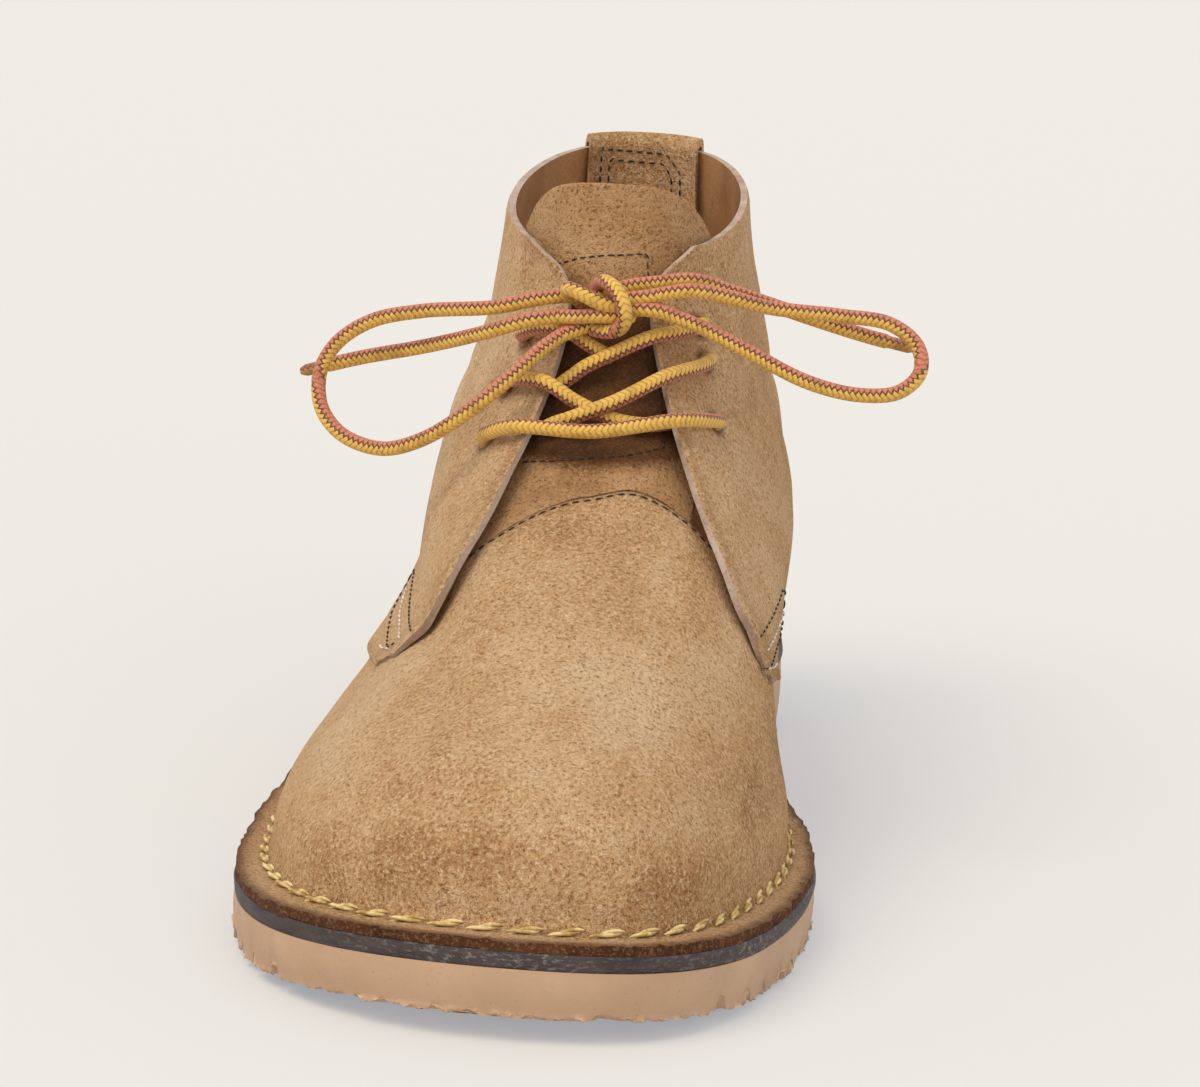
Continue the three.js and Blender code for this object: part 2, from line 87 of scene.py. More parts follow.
# Front edge of the quarters: turn away from the ridge line in degrees, ring by ring.
QUARTER_EDGE = {
    "level": (0, 1, 2, 2.8, 4, 5, 6, 7, 7.8, 8.3, 8.6),
    "lateral": (99, 96, 90, 68, 48, 31, 20.5, 13, 10, 14, 28),
    "medial": (100, 97, 91, 73, 58, 43, 29, 17, 12, 16, 28),
}
CORNER_LEVEL = 4            # above it the edge is a smooth curve
QUARTER_TOP = 8.6
COLLAR_BACK = 9.0
FACING_LIFT = 3.0           # how far the front edges stand out over the tongue
FACING_LIFT_REACH = 26.0    # degrees
VAMP_REACH = 116.0
VAMP_POWER = 1.7
VAMP_END = 0.5
VAMP_TOP = 6.05
VAMP_LEAN = -10.0
TONGUE_START_TURN = 36.0
TONGUE_END_TURN = 62.0
TONGUE_END = 9.5
TONGUE_ROUND = 1.4
TONGUE_POWER = 2.5

LACE_DIAMETER = 3.1


# ---- Curves and surfaces of the last ----
def colour(hex_code):
    """Linear red, green, blue and alpha of a colour named by its six hex digits."""
    channels = [int(hex_code[i:i + 2], 16) / 255 for i in (0, 2, 4)]
    return tuple(c / 12.92 if c <= 0.04045 else ((c + 0.055) / 1.055) ** 2.4 for c in channels) + (1.0,)


def lerp(a, b, t):
    return a + (b - a) * t


def smoothstep(x, low, high):
    t = np.clip((x - low) / (high - low), 0, 1)
    return t * t * (3 - 2 * t)


def signed_turn(turn):
    """The same turn, from half a circle one way (positive, outer side) to half a circle the other."""
    return np.where(np.asarray(turn) > math.pi, np.asarray(turn) - 2 * math.pi, turn)


def smooth_curve(at, value, period=0.0):
    """A smooth curve through rising places; a period closes it on itself."""
    at = np.asarray(at, float)
    value = np.asarray(value, float)
    first = at[0]
    if period:
        at = np.concatenate([at[-2:] - period, at, at[:2] + period])
        value = np.concatenate([value[-2:], value, value[:2]])
    slope = np.gradient(value)
    slope[1:-1] = (value[2:] - value[:-2]) / (at[2:] - at[:-2])
    slope[0] = (value[1] - value[0]) / (at[1] - at[0])
    slope[-1] = (value[-1] - value[-2]) / (at[-1] - at[-2])

    def curve(x):
        x = np.asarray(x, float)
        if period:
            x = first + np.mod(x - first, period)
        i = np.clip(np.searchsorted(at, x, side="right") - 1, 0, len(at) - 2)
        h = at[i + 1] - at[i]
        t = np.clip((x - at[i]) / h, 0, 1)
        bend = (t ** 3 - 2 * t ** 2 + t) * h * slope[i] + (t ** 3 - t ** 2) * h * slope[i + 1]
        return lerp(value[i], value[i + 1], t * t * (3 - 2 * t)) + bend

    return curve


def angle_of(u):
    return np.arccos(1 - 2 * np.asarray(u, float) / LENGTH)


outline_x = smooth_curve(
    np.concatenate([-angle_of(OUTLINE["u"][:0:-1]), angle_of(OUTLINE["u"][:-1])]),
    np.concatenate([OUTLINE["medial"][:0:-1], OUTLINE["lateral"][:-1]]),
    2 * math.pi,
)
sole_top_curve = smooth_curve(SOLE_TOP["u"], SOLE_TOP["z"])
ring_curves = {name: smooth_curve(range(len(values)), values) for name, values in RINGS.items()}


def edge_point(angle):
    return outline_x(angle), -LENGTH / 2 * np.cos(angle)


def inset_point(angle, inset):
    """x and y of the sole's outline, drawn in by inset; 0 is the toe tip, 90 degrees the outer side."""
    step = 0.02
    x, y = edge_point(angle)
    ahead = edge_point(angle + step)
    behind = edge_point(angle - step)
    along_x, along_y = ahead[0] - behind[0], ahead[1] - behind[1]
    size = np.hypot(along_x, along_y)
    return x + along_y / size * inset, y - along_x / size * inset


def spring_lift(u):
    return TOE_SPRING * np.maximum(0, 1 - u / SPRING_END) ** 2


def tread_height(y):
    u = y + LENGTH / 2
    arch = np.clip((u - ARCH_START) / (ARCH_END - ARCH_START), 0, 1)
    bevel = np.maximum(0, (u - HEEL_BEVEL_START) / (LENGTH - HEEL_BEVEL_START))
    return spring_lift(u) + ARCH_LIFT * np.sin(np.pi * arch) ** 2 + HEEL_BEVEL_LIFT * bevel ** 2


def sole_top_height(y):
    u = y + LENGTH / 2
    return sole_top_curve(u) + spring_lift(u)


def raised(height, by):
    """A height along the boot that lies a distance above another."""
    return lambda y: height(y) + by


midsole_foot_height = raised(sole_top_height, GAP)
midsole_top_height = raised(midsole_foot_height, MIDSOLE)
flange_foot_height = raised(midsole_top_height, GAP)
flange_top_height = raised(flange_foot_height, SUEDE)


def last_point(turn, level):
    """Point of the last: turn 0 on the ridge line, level 0 at the feather edge."""
    turn, level = np.broadcast_arrays(np.asarray(turn, float), np.asarray(level, float))
    angle = signed_turn(turn)
    ring = {name: curve(level) for name, curve in ring_curves.items()}
    along = (1 - np.cos(angle)) / 2
    inset = ring["inset"] - SIDE_GAIN * np.sin(angle) ** 2
    foot_x, foot_y = inset_point(angle, inset)
    foot_along = (foot_y + LENGTH / 2 - inset) / (LENGTH - 2 * inset)
    foot_u = lerp(ring["front_u"], ring["back_u"], foot_along)
    half_width = np.where(angle > 0, ring["lateral"], ring["medial"])
    sideways = np.sign(angle) * half_width * np.abs(np.sin(angle)) ** OVAL_POWER
    oval_x = lerp(ring["front_x"], ring["back_x"], along) - sideways
    oval_u = lerp(ring["front_u"], ring["back_u"], along)
    x = lerp(foot_x, oval_x, ring["oval"])
    y = lerp(foot_u, oval_u, ring["oval"]) - LENGTH / 2
    z = flange_top_height(y) + lerp(ring["front_z"], ring["back_z"], along)
    return np.stack([x, y, z], axis=-1)


def last_normal(turn, level):
    step = 0.03
    level = np.asarray(level, float)
    around = last_point(turn + step, level) - last_point(turn - step, level)
    above = last_point(turn, np.minimum(level + step, TOP_LEVEL))
    up = above - last_point(turn, np.maximum(level - step, 0))
    normal = np.cross(up, around)
    return normal / np.linalg.norm(normal, axis=-1, keepdims=True)


def off_last(turn, level, offset):
    offset = np.broadcast_to(np.asarray(offset, float), np.broadcast(turn, level).shape)
    return last_point(turn, level) + last_normal(turn, level) * offset[..., None]


def vamp_top(turn):
    """Level of the vamp's back edge."""
    turn = np.asarray(turn, float)
    lean = math.radians(VAMP_LEAN)
    side = np.sign(turn - lean)
    away = np.abs(turn - lean) / (math.radians(VAMP_REACH) - side * lean)
    return lerp(VAMP_TOP, VAMP_END, away ** VAMP_POWER)


def facing_turn(level, side):
    """Turn of the quarters' front edge at a level, smooth above its lower corner and straight below."""
    level = np.asarray(level, float)
    corner = QUARTER_EDGE["level"].index(CORNER_LEVEL)
    above = smooth_curve(QUARTER_EDGE["level"][corner:], QUARTER_EDGE[side][corner:])
    below = np.interp(level, QUARTER_EDGE["level"], QUARTER_EDGE[side])
    return np.radians(np.where(level > CORNER_LEVEL, above(level), below))


def collar_rise(turn):
    return (COLLAR_BACK - QUARTER_TOP) * ((1 - np.cos(turn)) / 2) ** 3


def quarter_offset(level, away):
    """Distance of the quarters' inner face off the last; away is the turn from the nearer facing edge."""
    clear = smoothstep(level, 5.2, 6)
    near = np.maximum(0, 1 - away / math.radians(FACING_LIFT_REACH)) ** 2
    lift = FACING_LIFT * near * smoothstep(level, 3, 5.5)
    return SUEDE + lerp(0.05, 2 * GAP, clear) + lift


def quarter_face(turn, level):
    """Distance of the quarters' outer face off the last at a signed turn."""
    turn = np.asarray(turn, float)
    edge = np.where(turn > 0, facing_turn(level, "lateral"), facing_turn(level, "medial"))
    return quarter_offset(level, np.maximum(np.abs(turn) - edge, 0)) + SUEDE


# ---- Unevenness that is the same in every run ----
NOISE_CELLS = 64
noise_table = np.random.default_rng(7).uniform(-1, 1, (NOISE_CELLS, NOISE_CELLS))


def uneven(x, y=0.0):
    """Smooth noise from -1 to 1 that changes over about one unit of x and y."""
    x, y = np.broadcast_arrays(np.asarray(x, float), np.asarray(y, float))
    i, j = np.floor(x).astype(int), np.floor(y).astype(int)
    s, t = smoothstep(x - i, 0, 1), smoothstep(y - j, 0, 1)

    def cell(a, b):
        return noise_table[(i + a) % NOISE_CELLS, (j + b) % NOISE_CELLS]

    return lerp(lerp(cell(0, 0), cell(1, 0), s), lerp(cell(0, 1), cell(1, 1), s), t)


def add_patches(total, table, degrees, level):
    """Adds a table's soft patches, each with its middle, its reach along both ways, slant and amount."""
    for turn_at, level_at, turn_reach, level_reach, slant, amount in zip(*table.values()):
        along = (degrees - turn_at) / turn_reach
        across = (level - level_at - slant * (degrees - turn_at)) / level_reach
        total = total + amount * np.exp(-along ** 2 - across ** 2)
    return total


# Soft troughs (negative height) and swellings of the leather.
LEATHER_FORMS = {
    "turn": (95, 112, 150, -95, -118, -150, 30, -32, 4, -48, 48, 14, -14, 62),
    "level": (6.15, 5.55, 6.3, 6.05, 5.4, 6.5, 3.6, 3.3, 4.6, 4.3, 4.4, 2.2, 1.9, 2.2),
    "turn_reach": (24, 26, 30, 22, 24, 30, 22, 20, 26, 16, 16, 20, 16, 16),
    "level_reach": (0.22, 0.5, 0.3, 0.25, 0.5, 0.35, 0.35, 0.32, 0.5, 0.4, 0.4, 0.5, 0.4, 0.6),
    "slant": (0.006, 0.0, -0.004, 0.006, 0.0, 0.004, 0.02, 0.02, 0.0, 0.01, -0.01, 0.01, -0.01, 0.01),
    "height": (-1.5, 0.9, -0.8, -1.1, 0.8, -0.7, -0.7, -0.8, 0.5, -0.5, -0.6, -0.6, 0.4, 0.5),
}


def leather_form(turn, level):
    """How far the leather stands out of the last, or sinks into it, at a turn and level."""
    degrees = np.degrees(signed_turn(turn))
    level = np.asarray(level)
    total = 0.3 * uneven(degrees / 17 + 9, level / 1.1) + 0.12 * uneven(degrees / 7, level * 2)
    return add_patches(total, LEATHER_FORMS, degrees, level)


# Darker (negative) and lighter patches of the nap. Two of them are painted light: the paler crest of the
# vamp (turn 0, level 4.3) is a painted highlight from the light above, and the darker inner side of the
# vamp (turn -58, level 2.2) is painted shade.
NAP_AND_PAINTED_LIGHT_PATCHES = {
    "turn": (4, -38, 30, 60, 0, -20, 20, 95, 120, -58, -25, 8, 40, -75, -14),
    "level": (1.4, 0.7, 0.8, 1.2, 4.3, 3.2, 2.4, 6.5, 3.5, 2.2, 1.9, 5.6, 3.4, 1.5, 0.7),
    "turn_reach": (13, 16, 22, 22, 24, 18, 16, 45, 50, 18, 14, 34, 18, 30, 16),
    "level_reach": (0.4, 0.6, 0.5, 1.1, 0.9, 0.7, 0.5, 3.0, 2.5, 1.6, 0.45, 0.55, 0.6, 0.8, 0.5),
    "slant": (0,) * 15,
    "shade": (-0.9, -0.35, -0.35, 0.3, 0.3, 0.45, -0.45, 0.75, 0.35, -0.5, 0.45, -0.6, -0.3, -0.4, -0.5),
}


def nap_tone_and_painted_light(turn, level):
    """How pale (up to 1) or dark (down to -1) the nap is at a turn and level, painted light and shade
    included.
    """
    degrees = np.degrees(signed_turn(turn))
    level = np.asarray(level)
    total = 0.25 * uneven(degrees / 14 + 31, level * 0.9) + 0.15 * uneven(degrees / 5, level * 2.7)
    return np.clip(add_patches(total, NAP_AND_PAINTED_LIGHT_PATCHES, degrees, level), -1, 1)


# ---- Mesh helpers ----
def new_object(name, data):
    """An object in the scene, at the origin."""
    made = bpy.data.objects.new(name, data)
    bpy.context.scene.collection.objects.link(made)
    return made


def edit_mesh(piece, edit):
    work = bmesh.new()
    work.from_mesh(piece.data)
    edit(work)
    work.to_mesh(piece.data)
    work.free()


def mesh_object(name, points, faces, materials, slots=None, smooth_angle=50.0):
    """An object at the origin from points in millimetres; slots gives each face's place in materials."""
    mesh = bpy.data.meshes.new(name)
    mesh.from_pydata((np.asarray(points) * MM).tolist(), [], faces)
    for material in materials:
        mesh.materials.append(material)
    if slots is not None:
        mesh.polygons.foreach_set("material_index", slots)
    mesh.polygons.foreach_set("use_smooth", [True] * len(mesh.polygons))
    mesh.set_sharp_from_angle(angle=math.radians(smooth_angle))
    return new_object(name, mesh)


def vertex_values(piece, name, values):
    """A number on each point of a piece, for its material to read."""
    layer = piece.data.attributes.new(name, "FLOAT", "POINT")
    layer.data.foreach_set("value", np.asarray(values, np.float32).ravel())


def quads(rows, columns, first=0, around=False):
    """Corner numbers of the quads of a grid of points; around joins the last column to the first."""
    r, c = np.meshgrid(np.arange(rows - 1), np.arange(columns if around else columns - 1), indexing="ij")
    right = (c + 1) % columns
    corners = (r * columns + c, (r + 1) * columns + c, (r + 1) * columns + right, r * columns + right)
    return first + np.stack([k.ravel() for k in corners], axis=-1)


def strip(a, b):
    """Quads between two rows of point numbers."""
    return np.stack([a[:-1], a[1:], b[1:], b[:-1]], axis=-1)


OUTSIDE, INSIDE, CUT, RAW = 0, 1, 2, 3


def shell(name, outer, inner, materials):
    """A leather piece between two grids of points: its outer face, its inner face and its cut edges."""
    rows, columns = outer.shape[:2]
    count = rows * columns
    index = np.arange(count).reshape(rows, columns)
    edge = [
        strip(index[0], index[0] + count),
        strip(index[-1][::-1], index[-1][::-1] + count),
        strip(index[::-1, 0], index[::-1, 0] + count),
        strip(index[:, -1], index[:, -1] + count),
    ]
    faces = np.concatenate([quads(rows, columns), quads(rows, columns, count)[:, ::-1], *edge])
    slots = np.full(len(faces), CUT)
    half = (rows - 1) * (columns - 1)
    slots[:half] = OUTSIDE
    slots[half:2 * half] = INSIDE
    points = np.concatenate([outer.reshape(-1, 3), inner.reshape(-1, 3)])
    return mesh_object(name, points, faces.tolist(), materials, slots)


def edge_roll(rows, columns, depth=0.45, top=True):
    """How far the skin's corner rounds over at each point of a grid, greatest on its sides and top."""
    r, c = np.meshgrid(np.arange(rows), np.arange(columns), indexing="ij")
    nearest = np.minimum(c, columns - 1 - c)
    if top:
        nearest = np.minimum(nearest, rows - 1 - r)
    return depth * np.maximum(0, 1 - nearest / 2.0) ** 2


def ride_and_replace(piece, slot, node):
    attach(piece, BODY)
    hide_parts(node)


# ---- Material helpers ----
def new_material(name):
    made = bpy.data.materials.new(name)
    made.use_nodes = True
    tree = made.node_tree
    return made, tree, tree.nodes["Principled BSDF"]


def add_node(tree, kind, inputs=None, **settings):
    """A node with its settings, its inputs given as numbers, colours or other nodes' outputs."""
    made = tree.nodes.new(kind)
    for key, value in settings.items():
        setattr(made, key, value)
    for key, value in (inputs or {}).items():
        if isinstance(value, bpy.types.NodeSocket):
            tree.links.new(value, made.inputs[key])
        else:
            made.inputs[key].default_value = value
    return made


def maths(tree, operation, a, b=0.0, c=0.0):
    return add_node(tree, "ShaderNodeMath", {0: a, 1: b, 2: c}, operation=operation).outputs[0]


def object_coords(tree):
    return add_node(tree, "ShaderNodeTexCoord").outputs["Object"]


def noise(tree, coords, scale, detail=2.0, roughness=0.5, stretch=None):
    """Noise of a number of cells per metre, spread over about 0 to 1."""
    if stretch is not None:
        coords = add_node(tree, "ShaderNodeMapping", {"Vector": coords, "Scale": stretch}).outputs[0]
    settings = {"Vector": coords, "Scale": scale, "Detail": detail, "Roughness": roughness}
    return add_node(tree, "ShaderNodeTexNoise", settings).outputs["Fac"]


def ramp(tree, value, low, high, to_low=0.0, to_high=1.0):
    settings = {"Value": value, "From Min": low, "From Max": high, "To Min": to_low, "To Max": to_high}
    return add_node(tree, "ShaderNodeMapRange", settings).outputs[0]


MIX_FACTOR, MIX_A, MIX_B, MIX_RESULT = 0, 6, 7, 2


def mix(tree, factor, a, b):
    settings = {MIX_FACTOR: factor, MIX_A: a, MIX_B: b}
    return add_node(tree, "ShaderNodeMix", settings, data_type="RGBA").outputs[MIX_RESULT]


def attribute(tree, name):
    return add_node(tree, "ShaderNodeAttribute", attribute_name=name).outputs["Fac"]


def bump(tree, shader, *layers):
    """Raises the surface by (height, millimetres) layers, one on another."""
    normal = None
    for height, depth in layers:
        inputs = {"Height": height, "Distance": depth * MM, "Strength": 1.0}
        if normal is not None:
            inputs["Normal"] = normal
        normal = add_node(tree, "ShaderNodeBump", inputs).outputs["Normal"]
    tree.links.new(normal, shader.inputs["Normal"])


def surface(tree, shader, skin, constants, *relief):
    """Gives a shader its colour, its constants and its layers of relief."""
    tree.links.new(skin, shader.inputs["Base Color"])
    for label, value in constants.items():
        shader.inputs[label].default_value = value
    bump(tree, shader, *relief)


# ---- Materials ----
def colour_ramp(tree, value, stops):
    """A colour for a value from 0 to 1 through (place, hex colour) stops."""
    made = add_node(tree, "ShaderNodeValToRGB", {"Fac": value})
    marks = made.color_ramp.elements
    while len(marks) < len(stops):
        marks.new(0.5)
    for mark, (place, hex_code) in zip(marks, stops):
        mark.position = place
        mark.color = colour(hex_code)
    return made.outputs["Color"]


TAN_SUEDE = ((0.0, "6F4624"), (0.25, "A26D3C"), (0.5, "D4A472"), (0.75, "E8C297"), (1.0, "F6DDBC"))
# The tongue's stops reach much darker, for the shade painted in its throat.
TONGUE_SUEDE_WITH_PAINTED_SHADE = ((0.0, "40200F"), (0.25, "7A4E2C"), (0.5, "C0905F"), (0.75, "DAAE80"), (1.0, "EBCBA4"))


def suede_material(name, stops, root, tip):
    """Rough suede: crumbs of nap with dark roots and pale tips, over broad patches of tone."""
    material, tree, shader = new_material(name)
    at = object_coords(tree)
    crumbs = noise(tree, at, 1250, 3.0, 0.75)
    fibres = noise(tree, at, 2600, 2.0, 0.6)
    clumps = noise(tree, at, 260, 3.0, 0.6)
    clouds = noise(tree, at, 32, 4.0, 0.6, stretch=(1.5, 0.8, 1))
    shade = maths(tree, "MULTIPLY_ADD", attribute(tree, "tone"), 0.2, 0.58)
    shade = maths(tree, "ADD", shade, ramp(tree, clouds, 0.34, 0.66, -0.14, 0.1))
    shade = maths(tree, "ADD", shade, ramp(tree, clumps, 0.3, 0.7, -0.05, 0.05))
    shade = maths(tree, "ADD", shade, ramp(tree, fibres, 0.3, 0.7, -0.04, 0.04))
    skin = colour_ramp(tree, shade, stops)
    # Roots of the nap lie in shade, tips catch the light.
    skin = mix(tree, ramp(tree, crumbs, 0.46, 0.35, 0.0, 0.72), skin, colour(root))
    # Pale tips fade out where the tone is lowest, in painted shade such as the tongue's throat.
    lit = ramp(tree, attribute(tree, "tone"), -1.8, -0.9, 0.1, 0.62)
    tips = maths(tree, "MULTIPLY", ramp(tree, crumbs, 0.52, 0.64), lit)
    skin = mix(tree, tips, skin, colour(tip))
    # Darkened by wear, and by painted shade in the flange's stitch groove.
    skin = mix(tree, attribute(tree, "wear_and_painted_shade"), skin, colour("5E381F"))
    constants = {
        "Roughness": 0.95, "Specular IOR Level": 0.12, "Sheen Weight": 0.15,
        "Sheen Roughness": 0.6, "Sheen Tint": colour("E6C294"),
    }
    surface(tree, shader, skin, constants, (clumps, 0.4), (crumbs, 1.5), (fibres, 0.25))
    return material


def lining_material(name, dark, light):
    """Smooth tan flesh side, slightly mottled, with fine pores."""
    material, tree, shader = new_material(name)
    at = object_coords(tree)
    clouds = noise(tree, at, 60, 4.0, 0.6)
    pores = noise(tree, at, 1500, 2.0, 0.6)
    skin = mix(tree, ramp(tree, clouds, 0.3, 0.7), colour(dark), colour(light))
    skin = mix(tree, ramp(tree, pores, 0.5, 0.3, 0.0, 0.3), skin, colour("5A3520"))
    tree.links.new(ramp(tree, clouds, 0.3, 0.7, 0.5, 0.65), shader.inputs["Roughness"])
    surface(tree, shader, skin, {}, (clouds, 0.4), (pores, 0.06))
    return material


DARKER_FROM_HEIGHT, DARKER_TO_HEIGHT = 0.075, 0.055


def cut_edge_material(name, dark, light, fleck, low):
    """The cut through the hide: a dusty fibrous edge, darker towards the colour low near the sole."""
    material, tree, shader = new_material(name)
    at = object_coords(tree)
    fibres = noise(tree, at, 1300, 4.0, 0.7)
    clouds = noise(tree, at, 130, 3.0, 0.6)
    skin = mix(tree, ramp(tree, clouds, 0.3, 0.7), colour(dark), colour(light))
    skin = mix(tree, ramp(tree, fibres, 0.5, 0.68, 0.0, 0.6), skin, colour(fleck))
    height = add_node(tree, "ShaderNodeSeparateXYZ", {0: at}).outputs[2]
    # The cut edge is darker towards the sole, below these heights.
    skin = mix(tree, ramp(tree, height, DARKER_FROM_HEIGHT, DARKER_TO_HEIGHT, 0.0, 0.45), skin, colour(low))
    constants = {"Roughness": 0.9, "Specular IOR Level": 0.2}
    surface(tree, shader, skin, constants, (clouds, 0.3), (fibres, 0.6))
    return material


def midsole_material():
    """Dark rubbery edge with a chalky bloom of wax along it."""
    material, tree, shader = new_material("midsole_edge")
    at = object_coords(tree)
    streaks = noise(tree, at, 120, 4.0, 0.7, stretch=(1, 1, 4))
    specks = noise(tree, at, 900, 3.0, 0.75, stretch=(0.6, 0.6, 1.6))
    patches = noise(tree, at, 22, 3.0, 0.6)
    skin = mix(tree, ramp(tree, streaks, 0.3, 0.7), colour("2A1F1D"), colour("4A3B3B"))
    chalk = maths(tree, "MULTIPLY", ramp(tree, specks, 0.52, 0.66), ramp(tree, patches, 0.42, 0.66))
    skin = mix(tree, maths(tree, "MULTIPLY", chalk, 0.45), skin, colour("A39A92"))
    surface(tree, shader, skin, {"Roughness": 0.62}, (streaks, 0.5), (specks, 0.15))
    return material


def sole_material():
    """Pale crepe-like rubber, faintly mottled; where the edge is torn, dusty pale and dark flecks, partly
    painted highlights and shade of the burrs.
    """
    material, tree, shader = new_material("sole_rubber")
    at = object_coords(tree)
    clouds = noise(tree, at, 45, 4.0, 0.6)
    pits = noise(tree, at, 1100, 3.0, 0.6)
    skin = mix(tree, ramp(tree, clouds, 0.3, 0.7), colour("AE8B6C"), colour("C09C7B"))
    skin = mix(tree, ramp(tree, pits, 0.36, 0.26, 0.0, 0.5), skin, colour("8F6849"))
    # Painted highlights and shade of the torn burrs, mixed with dust: pale and dark flecks along the torn
    # edge.
    crumbs = noise(tree, at, 520, 3.0, 0.7)
    torn = mix(tree, ramp(tree, crumbs, 0.42, 0.58), colour("7E5A3C"), colour("D9BC9A"))
    skin = mix(tree, attribute(tree, "torn"), skin, torn)
    constants = {"Roughness": 0.6, "Subsurface Weight": 0.05, "Subsurface Radius": (0.004, 0.002, 0.001)}
    surface(tree, shader, skin, constants, (clouds, 0.4), (pits, 0.08))
    return material


def thread_material(name, dark, light):
    """Waxed thread, dark in its twists."""
    material, tree, shader = new_material(name)
    at = object_coords(tree)
    fibres = noise(tree, at, 1800, 3.0, 0.7)
    twist = noise(tree, at, 420, 2.0, 0.5)
    skin = mix(tree, ramp(tree, twist, 0.35, 0.6), colour(dark), colour(light))
    surface(tree, shader, skin, {"Roughness": 0.7}, (fibres, 0.12))
    return material


BRAID_PITCH = 1.25
ZIGZAG = 0.26               # how far the border of the halves swings, as a cosine round the lace


def lace_material():
    """Round braid, one half gold and one half terracotta, meeting in a zigzag of painted shadow.

    The lace's own map gives the place round it, from 0 to 1, and the millimetres along it.
    """
    material, tree, shader = new_material("lace_braid")
    uv = add_node(tree, "ShaderNodeUVMap", uv_map="Lace").outputs[0]
    parts = add_node(tree, "ShaderNodeSeparateXYZ", {0: uv})
    around = maths(tree, "MULTIPLY", parts.outputs[0], 2 * math.pi)
    along = maths(tree, "DIVIDE", parts.outputs[1], BRAID_PITCH)
    half = maths(tree, "COSINE", around)
    saw = maths(tree, "PINGPONG", along, 0.5)
    zigzag = ramp(tree, saw, 0.0, 0.5, -ZIGZAG, ZIGZAG)
    border = maths(tree, "ADD", half, zigzag)
    gold_side = ramp(tree, border, -0.03, 0.03)
    # Plaits lean one way and the other round the lace, so they meet in arrow heads.
    quarters_round = maths(tree, "MULTIPLY", parts.outputs[0], 4.0)
    lean = maths(tree, "MULTIPLY", maths(tree, "PINGPONG", quarters_round, 0.5), 1.2)
    plait_wave = maths(tree, "PINGPONG", maths(tree, "ADD", along, lean), 0.5)
    plait = ramp(tree, plait_wave, 0.0, 0.25)
    at = object_coords(tree)
    fibres = noise(tree, at, 2600, 2.0, 0.6)
    dirt = noise(tree, at, 300, 2.0, 0.5)
    # Painted shade: both halves are darker in the creases between plaits and lighter on their crowns.
    gold = mix(tree, plait, colour("B9862F"), colour("E8B74E"))
    clay = mix(tree, plait, colour("A0563A"), colour("D07B5D"))
    skin = mix(tree, gold_side, clay, gold)
    # Painted shadow: a dark zigzag where the halves meet, on the terracotta side.
    seam = maths(tree, "MULTIPLY", ramp(tree, border, -0.46, -0.32), ramp(tree, border, 0.04, -0.04))
    skin = mix(tree, maths(tree, "MULTIPLY", seam, 0.85), skin, colour("47200F"))
    skin = mix(tree, ramp(tree, fibres, 0.5, 0.75, 0.0, 0.35), skin, colour("EBCF95"))
    skin = mix(tree, ramp(tree, dirt, 0.5, 0.3, 0.0, 0.3), skin, colour("7A4A1E"))
    skin = mix(tree, attribute(tree, "waxed"), skin, colour("8C5A3C"))
    surface(tree, shader, skin, {"Roughness": 0.72, "Sheen Weight": 0.1}, (plait, 0.08), (fibres, 0.35))
    return material


suede = suede_material("tan_suede", TAN_SUEDE, "7E5129", "F7DDB2")
tongue_suede_with_painted_shade = suede_material("tongue_suede", TONGUE_SUEDE_WITH_PAINTED_SHADE, "4E2E16", "CFA377")
lining = lining_material("tan_lining", "9A6A42", "BC8A5A")
cut_edge = cut_edge_material("cut_edge", "B0957F", "D6C0B0", "9C7B64", "7E5B3E")
raw_edge = cut_edge_material("raw_flange_edge", "32190D", "653A20", "C29A6C", "55301A")
midsole_edge = midsole_material()
sole_rubber = sole_material()
cream_thread = thread_material("cream_thread", "AE8B42", "E8CE90")
white_thread = thread_material("white_thread", "B8A898", "F0E8DC")
dark_thread = thread_material("dark_thread", "1C120E", "3A2A22")
braid = lace_material()


# ---- Camera: in front of the toe, a little to the inner side, looking gently down ----
camera_data = bpy.data.cameras.new("camera")
camera_data.lens = 150
camera_data.sensor_width = 36
camera = new_object("camera", camera_data)
bpy.context.scene.camera = camera
CAMERA_PLACE = Vector((0.130, -1.0315, 0.281))
CAMERA_AIM = Vector((0.004, 0.0, 0.0645))
CAMERA_ROLL = math.radians(2.43)
camera.location = CAMERA_PLACE
facing = (CAMERA_AIM - CAMERA_PLACE).to_track_quat("-Z", "Y")
camera.rotation_euler = (facing @ Euler((0, 0, CAMERA_ROLL)).to_quaternion()).to_euler()


# ---- Lace ----
LACE_SIDES = 20
LACE_STEP = 0.7
BOW = {
    "lace_loop_lateral": (
        (-6, 1, 117), (-12, 0, 116), (-20, -1, 114), (-36, 0, 112), (-47, 1, 109), (-54, 0, 104),
        (-57, -2, 98), (-56, -5, 91), (-51, -8, 86), (-42, -11, 84), (-33, -14, 87), (-23, -16, 94),
        (-14, -13, 102), (-9, -8.5, 107), (-5.5, -5, 109.5),
    ),
    "lace_end_lateral": (
        (-6.5, -3, 113.2), (-12, -5, 112.4), (-19, -5, 110), (-28, 0, 106.5), (-37, 4, 103.5),
        (-50, 7, 100), (-63, 8, 96),
    ),
    "lace_loop_medial": (
        (14.5, -2, 118.9), (21, -2, 120.2), (29, 0, 119), (37, 2, 117), (52, 3, 116), (63, 2, 115),
        (69, 0, 111), (70, -3, 106), (66, -5, 102), (58, -6, 101), (47, -6, 103), (33, -5, 109),
        (23, -4, 113.2), (15.5, -3, 115.5),
    ),
    "lace_end_medial": (
        (13, 3.5, 120.5), (21, 4, 121.5), (28, 6, 119.5), (36, 8, 117), (48, 9, 113.5),
        (58, 9, 111), (68, 9, 109),
    ),
}
